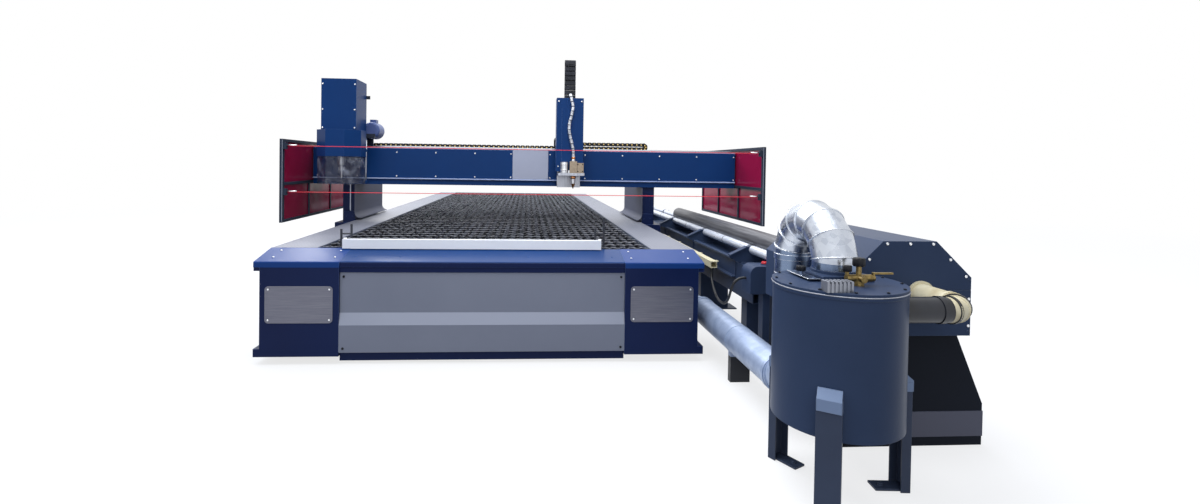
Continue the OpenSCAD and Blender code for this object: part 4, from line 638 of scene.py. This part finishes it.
lift_t = np.concatenate([0 * rise, bend_r - bend_r * np.cos(turn), 0 * rise + 2 * bend_r])
lift_a = np.concatenate([0 * rise, -turn, 0 * rise + np.pi])
p, t = laid(link(0.052, 0.034, 0.128), lift_s, -lift_t, lift_a, 0.803)
p = np.column_stack([p[:, 1], FRONT + 2.345 - p[:, 2], p[:, 0]])
lift_chain = piece("lift_energy_chain", p, t[:, ::-1], dusty_nylon, "chain_plastic", "torch_carriage", False)
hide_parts("lift_chain")

# The carriages that ride on the beam are machined steel plates, painted dark,
# with ground lift rails. The slide is bare milled plate.
saddle = powder_coat("dark_machine_paint", "#2A2F3A", "#343A46", "#6A707C", 0.4, 0.003)
give(saddle, "torch_saddle", "drill_saddle")
milled = bright_metal("milled_steel_plate", "#9195A0", "#B4B8C2", 0.38, (180, 180, 6), 0.85, 0.06)
give(milled, "torch_slide")

# The torch clamp is a nickel-plated can, a copper-coloured manifold and a split
# clamp. The torch itself is a copper barrel with a bright sleeve above the
# retaining cap and a hot-stained nozzle.
clamp = new_finish("nickel_plated_and_brass_clamp")
at = add(clamp, "TexCoord").outputs["Object"]
xyz = add(clamp, "SeparateXYZ", {0: at})
marks = add(clamp, "TexNoise", {"Vector": at, "Scale": 45, "Detail": 4})
side = add(clamp, "MapRange", {"Value": xyz.outputs[0], "From Min": 0.797, "From Max": 0.801})
warm = add(clamp, "Mix", {0: marks, 6: linear("#6B6055"), 7: linear("#958878")}, data_type="RGBA").outputs[2]
cold = add(clamp, "Mix", {0: marks, 6: linear("#A9ADB4"), 7: linear("#E2E4E8")}, data_type="RGBA").outputs[2]
colour = add(clamp, "Mix", {0: side, 6: cold, 7: warm}, data_type="RGBA").outputs[2]
rounded = add(clamp, "Bevel", {"Radius": 0.003}, samples=4)
bump = add(clamp, "Bump", {"Height": marks, "Normal": rounded, "Strength": 0.1, "Distance": 0.001})
skin = add(clamp, "BsdfPrincipled", {"Base Color": colour, "Metallic": 0.9, "Roughness": 0.3, "Normal": bump})
add(clamp, "OutputMaterial", {0: skin})
give(clamp, "torch_clamp")
torch = new_finish("copper_and_chrome_torch")
at = add(torch, "TexCoord").outputs["Object"]
xyz = add(torch, "SeparateXYZ", {0: at})
marks = add(torch, "TexNoise", {"Vector": at, "Scale": 60, "Detail": 4})
sleeve_z = add(torch, "MapRange", {"Value": xyz.outputs[2], "From Min": 1.300, "From Max": 1.304})
hot = add(torch, "MapRange", {"Value": xyz.outputs[2], "From Min": 1.246, "From Max": 1.285})
copper = add(torch, "Mix", {0: hot, 6: linear("#6E4634"), 7: linear("#C98F62")}, data_type="RGBA").outputs[2]
chrome = add(torch, "Mix", {0: marks, 6: linear("#9EA1A8"), 7: linear("#D9DBE0")},
    data_type="RGBA").outputs[2]
colour = add(torch, "Mix", {0: sleeve_z, 6: copper, 7: chrome}, data_type="RGBA").outputs[2]
bump = add(torch, "Bump", {"Height": marks, "Strength": 0.08, "Distance": 0.001})
skin = add(torch, "BsdfPrincipled", {"Base Color": colour, "Metallic": 1.0, "Roughness": 0.28,
    "Normal": bump})
add(torch, "OutputMaterial", {0: skin})
give(torch, "plasma_torch")
copper_ring = bright_metal("machined_copper", "#A86B45", "#D99A6C", 0.3, (300, 300, 300))
ring = turned([(0, 1.356), (0.0247, 1.356), (0.031, 1.364), (0.031, 1.384), (0.0247, 1.392), (0, 1.392)], 24)
nut = turned([(0, 1.585), (0.021, 1.585), (0.024, 1.589), (0.024, 1.606), (0.019, 1.612), (0, 1.612)], 6)
piece("torch_rings", *copies(joined(ring, nut), [[0.843, FRONT + 2.215, 0]]), copper_ring, "torch_copper",
    "torch_lift")
lower_band, upper_band = (
    turned([(0, a), (0.0468, a), (0.0475, b), (0.0475, c), (0.0468, d), (0, d)], 40)
    for a, b, c, d in ((1.452, 1.454, 1.466, 1.468), (1.518, 1.520, 1.532, 1.534)))
piece("clamp_can_bands", *copies(joined(lower_band, upper_band), [[0.739, FRONT + 2.210, 0]]), zinc,
    "clamp_metal", "torch_lift")
clamp_screw = facing_front(button_head(0.007, 0.005))
spots = [[x, FRONT + 2.180, z] for x in (0.895, 0.950) for z in (1.445, 1.525)]
piece("clamp_screws", *copies(clamp_screw, spots), blackened, "black_handle", "torch_lift")

# The drilling head is an eight-sided blue housing. Under it hangs a skirt of
# clear polycarbonate that holds back chips, with the spindle and a bright guide
# rod inside and beside it.
clear_sheet = new_finish("clear_polycarbonate_sheet")
at = add(clear_sheet, "TexCoord").outputs["Object"]
haze = add(clear_sheet, "TexNoise", {"Vector": at, "Scale": 9, "Detail": 5, "Roughness": 0.65})
smear = add(clear_sheet, "MapRange", {"Value": haze, "From Min": 0.4, "From Max": 0.7, "To Min": 0.05,
    "To Max": 0.35})
tone = tones(clear_sheet, haze, 0.48, 0.68, "#3C4054", "#A9B0C0")
veil = add(clear_sheet, "MapRange", {"Value": haze, "From Min": 0.45, "From Max": 0.7, "To Min": 0.18,
    "To Max": 0.42})
skin = add(clear_sheet, "BsdfPrincipled", {"Base Color": tone, "Roughness": smear, "IOR": 1.58,
    "Alpha": veil, "Coat Weight": 0.2, "Coat Roughness": 0.04})
add(clear_sheet, "OutputMaterial", {0: skin})
give(clear_sheet, "drill_skirt")
rod = np.array([[-1.550, FRONT + 2.340, z] for z in (1.2965, 1.4, 1.5, 1.6, 1.772)])
piece("guide_rod_sleeve", *tube(rod, 0.0096, 20, (0, 1, 0)), milled, "rail_steel", "drill_lift")
motor = powder_coat("hammered_motor_paint", "#465688", "#6273A4", "#8B94AE", 0.34, 0.004)
give(motor, "drill_motor")

# The bench of the pipe station is folded and welded slate-grey sheet. Wedge
# arms carry two lines of hard-chromed rollers, which turn the pipe.
slate = powder_coat("satin_slate_powder_coat", "#2E3B53", "#36435D", "#6C7992", 0.38, 0.004, shine=0.08)
give(slate, "bench_frame", "bench_arms", "bench_cover", "drum_shell", "drum_lid", "housing")
give(powder_coat("slate_powder_coat_with_kick_band", "#14171E", "#1A1E27", "#4A5160", 0.48, 0.004,
    band=(2, 0.0495, 0.1905, "#62636F"), shine=0.06), "pedestal")
chrome = bright_metal("hard_chromed_tube", "#BFC6D6", "#EDF0F6", 0.3, (30, 3, 30), 0.45, 0.01)
give(chrome, "roller_near", "roller_far")
band = facing_front(turned(
    [(0, 0), (0.0360, 0), (0.0372, 0.001), (0.0372, 0.012), (0.0360, 0.013), (0, 0.013)], 40))
pipe_z, centre_to_centre, half_gap = 0.887, 0.1175, 0.095
roller_z = pipe_z - math.sqrt(centre_to_centre ** 2 - half_gap ** 2) - 0.0003
for x, name, body in ((2.245, "near_roller_bands", "near_roller"), (2.435, "far_roller_bands", "far_roller")):
    spots = [[x, FRONT + t + 0.0065, roller_z] for t in 0.42 + 1.26 * (np.arange(4) + 0.5)]
    piece(name, *copies(band, spots), rubber, "black_rubber", body)

# A cable tray of cream-painted sheet runs along the bench, and the end cover
# holds the red stop button.
cream = powder_coat("cream_enamelled_sheet", "#CFC6A4", "#DDD5B6", "#F0EAD2", 0.42, 0.003)
give(cream, "cable_tray")
red = new_finish("moulded_red_plastic")
at = add(red, "TexCoord").outputs["Object"]
grain = add(red, "TexNoise", {"Vector": at, "Scale": 80, "Detail": 3})
tone = add(red, "Mix", {0: grain, 6: linear("#B5121C"), 7: linear("#D4202A")}, data_type="RGBA").outputs[2]
bump = add(red, "Bump", {"Height": grain, "Strength": 0.1, "Distance": 0.001})
skin = add(red, "BsdfPrincipled", {"Base Color": tone, "Roughness": 0.3, "Normal": bump})
add(red, "OutputMaterial", {0: skin})
give(red, "estop_button")

# The chuck is turned cast steel with hardened jaws. The pipe in it is hot-rolled
# tube, grey with mill scale and streaked along its length.
give(bright_metal("turned_cast_steel", "#6B6E76", "#8E929B", 0.34, (250, 20, 250), 0.9, 0.05), "chuck")
give(bright_metal("hardened_steel", "#4C4F57", "#70747D", 0.3, (120, 120, 120), 0.9, 0.05), "jaw_a",
    "jaw_b", "jaw_c")
mill = new_finish("hot_rolled_tube")
at = add(mill, "TexCoord").outputs["Object"]
drawn = add(mill, "Mapping", {"Vector": at, "Scale": (40, 1.5, 40)})
streak = add(mill, "TexNoise", {"Vector": drawn, "Scale": 1.0, "Detail": 6, "Roughness": 0.65})
colour = tones(mill, streak, 0.35, 0.65, "#3C3D42", "#6A6B70")
bump = add(mill, "Bump", {"Height": streak, "Strength": 0.15, "Distance": 0.002})
skin = add(mill, "BsdfPrincipled", {"Base Color": colour, "Metallic": 0.6, "Roughness": 0.42, "Normal": bump})
add(mill, "OutputMaterial", {0: skin})
give(mill, "pipe_blank")

# Screws run round the front of the chuck housing, and round the drum lid. A
# rolled bead closes the rim of the drum.
half = ((0.331, 0.837), (0.331, 0.783), (0.331, 0.694), (0.313, 0.957), (0.224, 1.046), (0.127, 1.129))
face_y = FRONT - 1.443
spots = [[bench_x + s * x, face_y, z] for s in (-1, 1) for x, z in half] + [[bench_x, face_y, 1.129]]
piece("housing_screws", *copies(facing_front(button_head(0.008, 0.003)), spots), zinc, "rail_steel", "table")
a = np.radians(15 + 30 * np.arange(12))
drum = np.array([1.800, FRONT - 1.697])
spots = np.column_stack([drum[0] + 0.278 * np.cos(a), drum[1] + 0.278 * np.sin(a), 0 * a + 0.990])
piece("lid_screws", *copies(button_head(0.0075, 0.003), spots), blackened, "black_handle", "table")
around, across, bead_r = 120, 8, 0.0025
a = np.arange(around)[:, None] / around * 2 * np.pi
b = np.arange(across) / across * 2 * np.pi
rim_r = 0.2955 + bead_r * np.cos(b)
bead_z = 0.972 + bead_r * np.sin(b) + 0 * a
bead = np.stack([drum[0] + rim_r * np.cos(a), drum[1] + rim_r * np.sin(a), bead_z], -1)
bead_faces = np.roll(quads(around + 1, across)[:, ::-1], 1, 1) % (around * across)
piece("drum_rim_bead", bead.reshape(-1, 3), bead_faces, milled, "galvanised", "table")

# The big duct is galvanised sheet. Hot zinc leaves a frosting of crystals, the
# spangle, about 12 mm across and drawn 30 mm wide to show. The swaged seams
# between the gores carry a painted highlight, and the sheet is faintly dented by
# hand. Below 1.062 m the sheet is painted a darker blue-grey, a painted reflection
# of the dark hall.
galvanised = new_finish("hot_dip_galvanised_sheet")
at = add(galvanised, "TexCoord").outputs["Object"]
flat = add(galvanised, "NewGeometry")
spangle = add(galvanised, "TexVoronoi", {"Vector": at, "Scale": 33})
dent = add(galvanised, "TexNoise", {"Vector": at, "Scale": 7, "Detail": 3, "Roughness": 0.5})
grey = add(galvanised, "SeparateColor", {0: spangle.outputs["Color"]})
colour = add(galvanised, "Mix", {0: grey.outputs[0], 6: linear("#B4BBC8"), 7: linear("#CDD3DD")},
    data_type="RGBA").outputs[2]
colour = banded(galvanised, at, colour, (2, 0, 1.062, "#7686A0"))
rounded = add(galvanised, "Bevel", {"Radius": 0.004}, samples=4)
turn = add(galvanised, "VectorMath", {0: rounded, 1: flat.outputs["Normal"]}, operation="DOT_PRODUCT")
seam_highlight = add(galvanised, "MapRange", {"Value": turn.outputs["Value"], "From Min": 0.8, "From Max": 0.985,
    "To Min": 0.8, "To Max": 0.0})
colour = add(galvanised, "Mix", {0: seam_highlight, 6: colour, 7: linear("#F4F6F9")}, data_type="RGBA").outputs[2]
gloss = add(galvanised, "MapRange", {"Value": grey.outputs[1], "To Min": 0.24, "To Max": 0.32})
bump = add(galvanised, "Bump", {"Height": dent, "Normal": rounded, "Strength": 0.10, "Distance": 0.006})
skin = add(galvanised, "BsdfPrincipled", {"Base Color": colour, "Metallic": 1.0, "Roughness": gloss,
    "Normal": bump})
add(galvanised, "OutputMaterial", {0: skin})
give(galvanised, "top_bend", "gate_blade")
# The floor duct is painted near black below 0.181 m, a painted shadow where it meets the floor.
dull_zinc = bright_metal("weathered_galvanised_sheet", "#8D9DBA", "#AEBCD4", 0.42, (12, 12, 12), 0.35, 0.12,
    band=(2, -1, 0.181, "#1C1F27"))
give(dull_zinc, "floor_duct")

# Beside the drum a black plastic pipe and a cream elbow lead smoke from the
# chuck housing. On the lid sit a brass pressure valve with black knobs and a
# finned block.
pvc = new_finish("extruded_black_pvc")
at = add(pvc, "TexCoord").outputs["Object"]
dust = add(pvc, "TexNoise", {"Vector": at, "Scale": 6, "Detail": 5})
colour = tones(pvc, dust, 0.4, 0.8, "#0E1016", "#22252E")
skin = add(pvc, "BsdfPrincipled", {"Base Color": colour, "Roughness": 0.32})
add(pvc, "OutputMaterial", {0: skin})
give(pvc, "side_duct")
elbow = new_finish("aged_cream_plastic")
at = add(elbow, "TexCoord").outputs["Object"]
stain = add(elbow, "TexNoise", {"Vector": at, "Scale": 11, "Detail": 5})
colour = tones(elbow, stain, 0.35, 0.7, "#E3DABB", "#BFB08A")
bump = add(elbow, "Bump", {"Height": stain, "Strength": 0.15, "Distance": 0.003})
skin = add(elbow, "BsdfPrincipled", {"Base Color": colour, "Roughness": 0.5, "Normal": bump})
add(elbow, "OutputMaterial", {0: skin})
give(elbow, "side_elbow")
points, faces = [], []
for angle in np.radians([-78.75, -33.75]):
    middle = np.array([2.307 + 0.095 * math.cos(angle), FRONT - 1.652 + 0.095 * math.sin(angle), 0.859])
    along = np.array([-math.sin(angle), math.cos(angle), 0])
    ring, ring_faces = tube([middle - 0.007 * along, middle + 0.007 * along], 0.067, 36, (0, 0, 1))
    faces += [[n + len(points) * len(ring) for n in face] for face in ring_faces]
    points.append(ring)
piece("elbow_bands", np.vstack(points), faces, rubber, "black_rubber", "table", False)
brass = bright_metal("cast_brass", "#6B5A38", "#94804F", 0.4, (60, 60, 60), 0.85, 0.25,
    band=(1, -7, FRONT - 1.886, "#8A8D96"))
give(brass, "valve_body", "valve_lever")
knob = [(0, -0.04), (0.9, -0.04), (1.08, 0.1), (1.08, 0.85), (1.0, 1.06), (0.7, 1.1), (0, 1.1)]
knobs = []
for x, y, z, r, h in ((1.840, -1.797, 1.076, 0.0255, 0.0345), (1.785, -1.797, 1.052, 0.0185, 0.0245),
        (1.663, -1.605, 1.018, 0.0212, 0.0225)):
    points, tris = turned([(r * u, h * v) for u, v in knob], 24)
    groove = (np.hypot(points[:, 0], points[:, 1]) > 0.9 * r) & (np.arange(len(points)) % 3 == 0)
    points[groove, :2] *= 0.9
    knobs.append(copies((points, tris), [[x, FRONT + y, z]]))
piece("valve_knobs", *joined(*knobs[:2]), nylon, "black_handle", "table")
piece("gate_knob", *knobs[2], nylon, "black_handle", "gate")

# The hall is dark at eye level and bright under its roof and on its left side,
# and lights the object with that. The camera, and whatever metal and glass
# mirror, see a white ground and a white wall, as in the cut-out photograph.


def sight(finish):
    """The ray, and 1 where it comes from the camera, through glass or off a mirror, and else 0."""
    ray = add(finish, "LightPath")
    direct = add(finish, "Math", {0: ray.outputs["Is Camera Ray"], 1: ray.outputs["Is Transmission Ray"]},
        operation="MAXIMUM")
    return ray, add(finish, "Math", {0: direct, 1: ray.outputs["Is Glossy Ray"]}, operation="MAXIMUM")


floor_finish = new_finish("pale_hall_floor")
ray, seen = sight(floor_finish)
far = add(floor_finish, "MapRange", {"Value": ray.outputs["Ray Length"], "From Min": 3, "From Max": 22,
    "To Min": 0.72, "To Max": 1.0})
white_floor = add(floor_finish, "BsdfDiffuse", {"Color": linear("#F2F3F5")})
glow = add(floor_finish, "Emission", {"Color": (1, 1, 1, 1), "Strength": 1.0})
shown = add(floor_finish, "MixShader", {0: far, 1: white_floor, 2: glow})
concrete = add(floor_finish, "BsdfDiffuse", {"Color": linear("#74777E")})
both = add(floor_finish, "MixShader", {0: seen, 1: concrete, 2: shown})
add(floor_finish, "OutputMaterial", {0: both})
floor_corners = [[60 * x, 60 * y, -0.002] for x, y in ((-1, -1), (1, -1), (1, 1), (-1, 1))]
floor = piece("floor", floor_corners, [[0, 1, 2, 3]], floor_finish, "walkway_plate")
floor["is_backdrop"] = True
world = bpy.data.worlds.new("hall")
bpy.context.scene.world = world
world.use_nodes = True
world.node_tree.nodes.clear()
ray, seen = sight(world)
way = add(world, "TexCoord")
height = add(world, "SeparateXYZ", {0: way.outputs["Generated"]})
rear = add(world, "Math", {0: height.outputs[1], 1: 0.2, 2: height.outputs[2]}, operation="MULTIPLY_ADD")
bright = add(world, "MapRange", {"Value": rear, "From Min": -0.05, "From Max": 0.8, "To Min": 0.18,
    "To Max": 1.4})
side = add(world, "MapRange", {"Value": height.outputs[0], "From Min": -0.35, "From Max": 0.35,
    "To Min": 1.45, "To Max": 0.6})
hall = add(world, "Math", {0: bright, 1: side}, operation="MULTIPLY")
soft = add(world, "Background", {"Color": linear("#DDE6F5"), "Strength": hall})
plain = add(world, "Background", {"Color": (1, 1, 1, 1), "Strength": 1.0})
both = add(world, "MixShader", {0: seen, 1: soft, 2: plain})
add(world, "OutputWorld", {0: both})


def lamp(name, place, towards, wide, high, power):
    """A flat rectangular lamp at a place, facing a point."""
    data = bpy.data.lights.new(name, "AREA")
    data.shape, data.size, data.size_y, data.energy = "RECTANGLE", wide, high, power
    made = bpy.data.objects.new(name, data)
    way = np.array(place, float) - np.array(towards, float)
    way /= np.linalg.norm(way)
    across = np.cross([0, 1, 0.001], way)
    across /= np.linalg.norm(across)
    axes = np.column_stack([across, np.cross(way, across), way, place])
    made.matrix_world = Matrix(np.vstack([axes, [0, 0, 0, 1]]).tolist())
    made.visible_camera = False
    bpy.context.scene.collection.objects.link(made)


lamp("roof_lamp", (0, 1, 7.5), (0, 0, 0), 9, 14, 720)
lamp("middle_lamp", (0.3, -6.0, 5.2), (-0.6, -2.3, 1.6), 3, 1.5, 120)
lamp("front_window", (0, -14, 3.0), (0, -4, 1.4), 10, 5, 190)
lamp("left_skylight", (-4.9, 5.8, 7.6), (-1.4, -4.5, 0.8), 3, 3, 430)
bpy.context.scene.view_settings.view_transform = "Standard"

low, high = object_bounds()
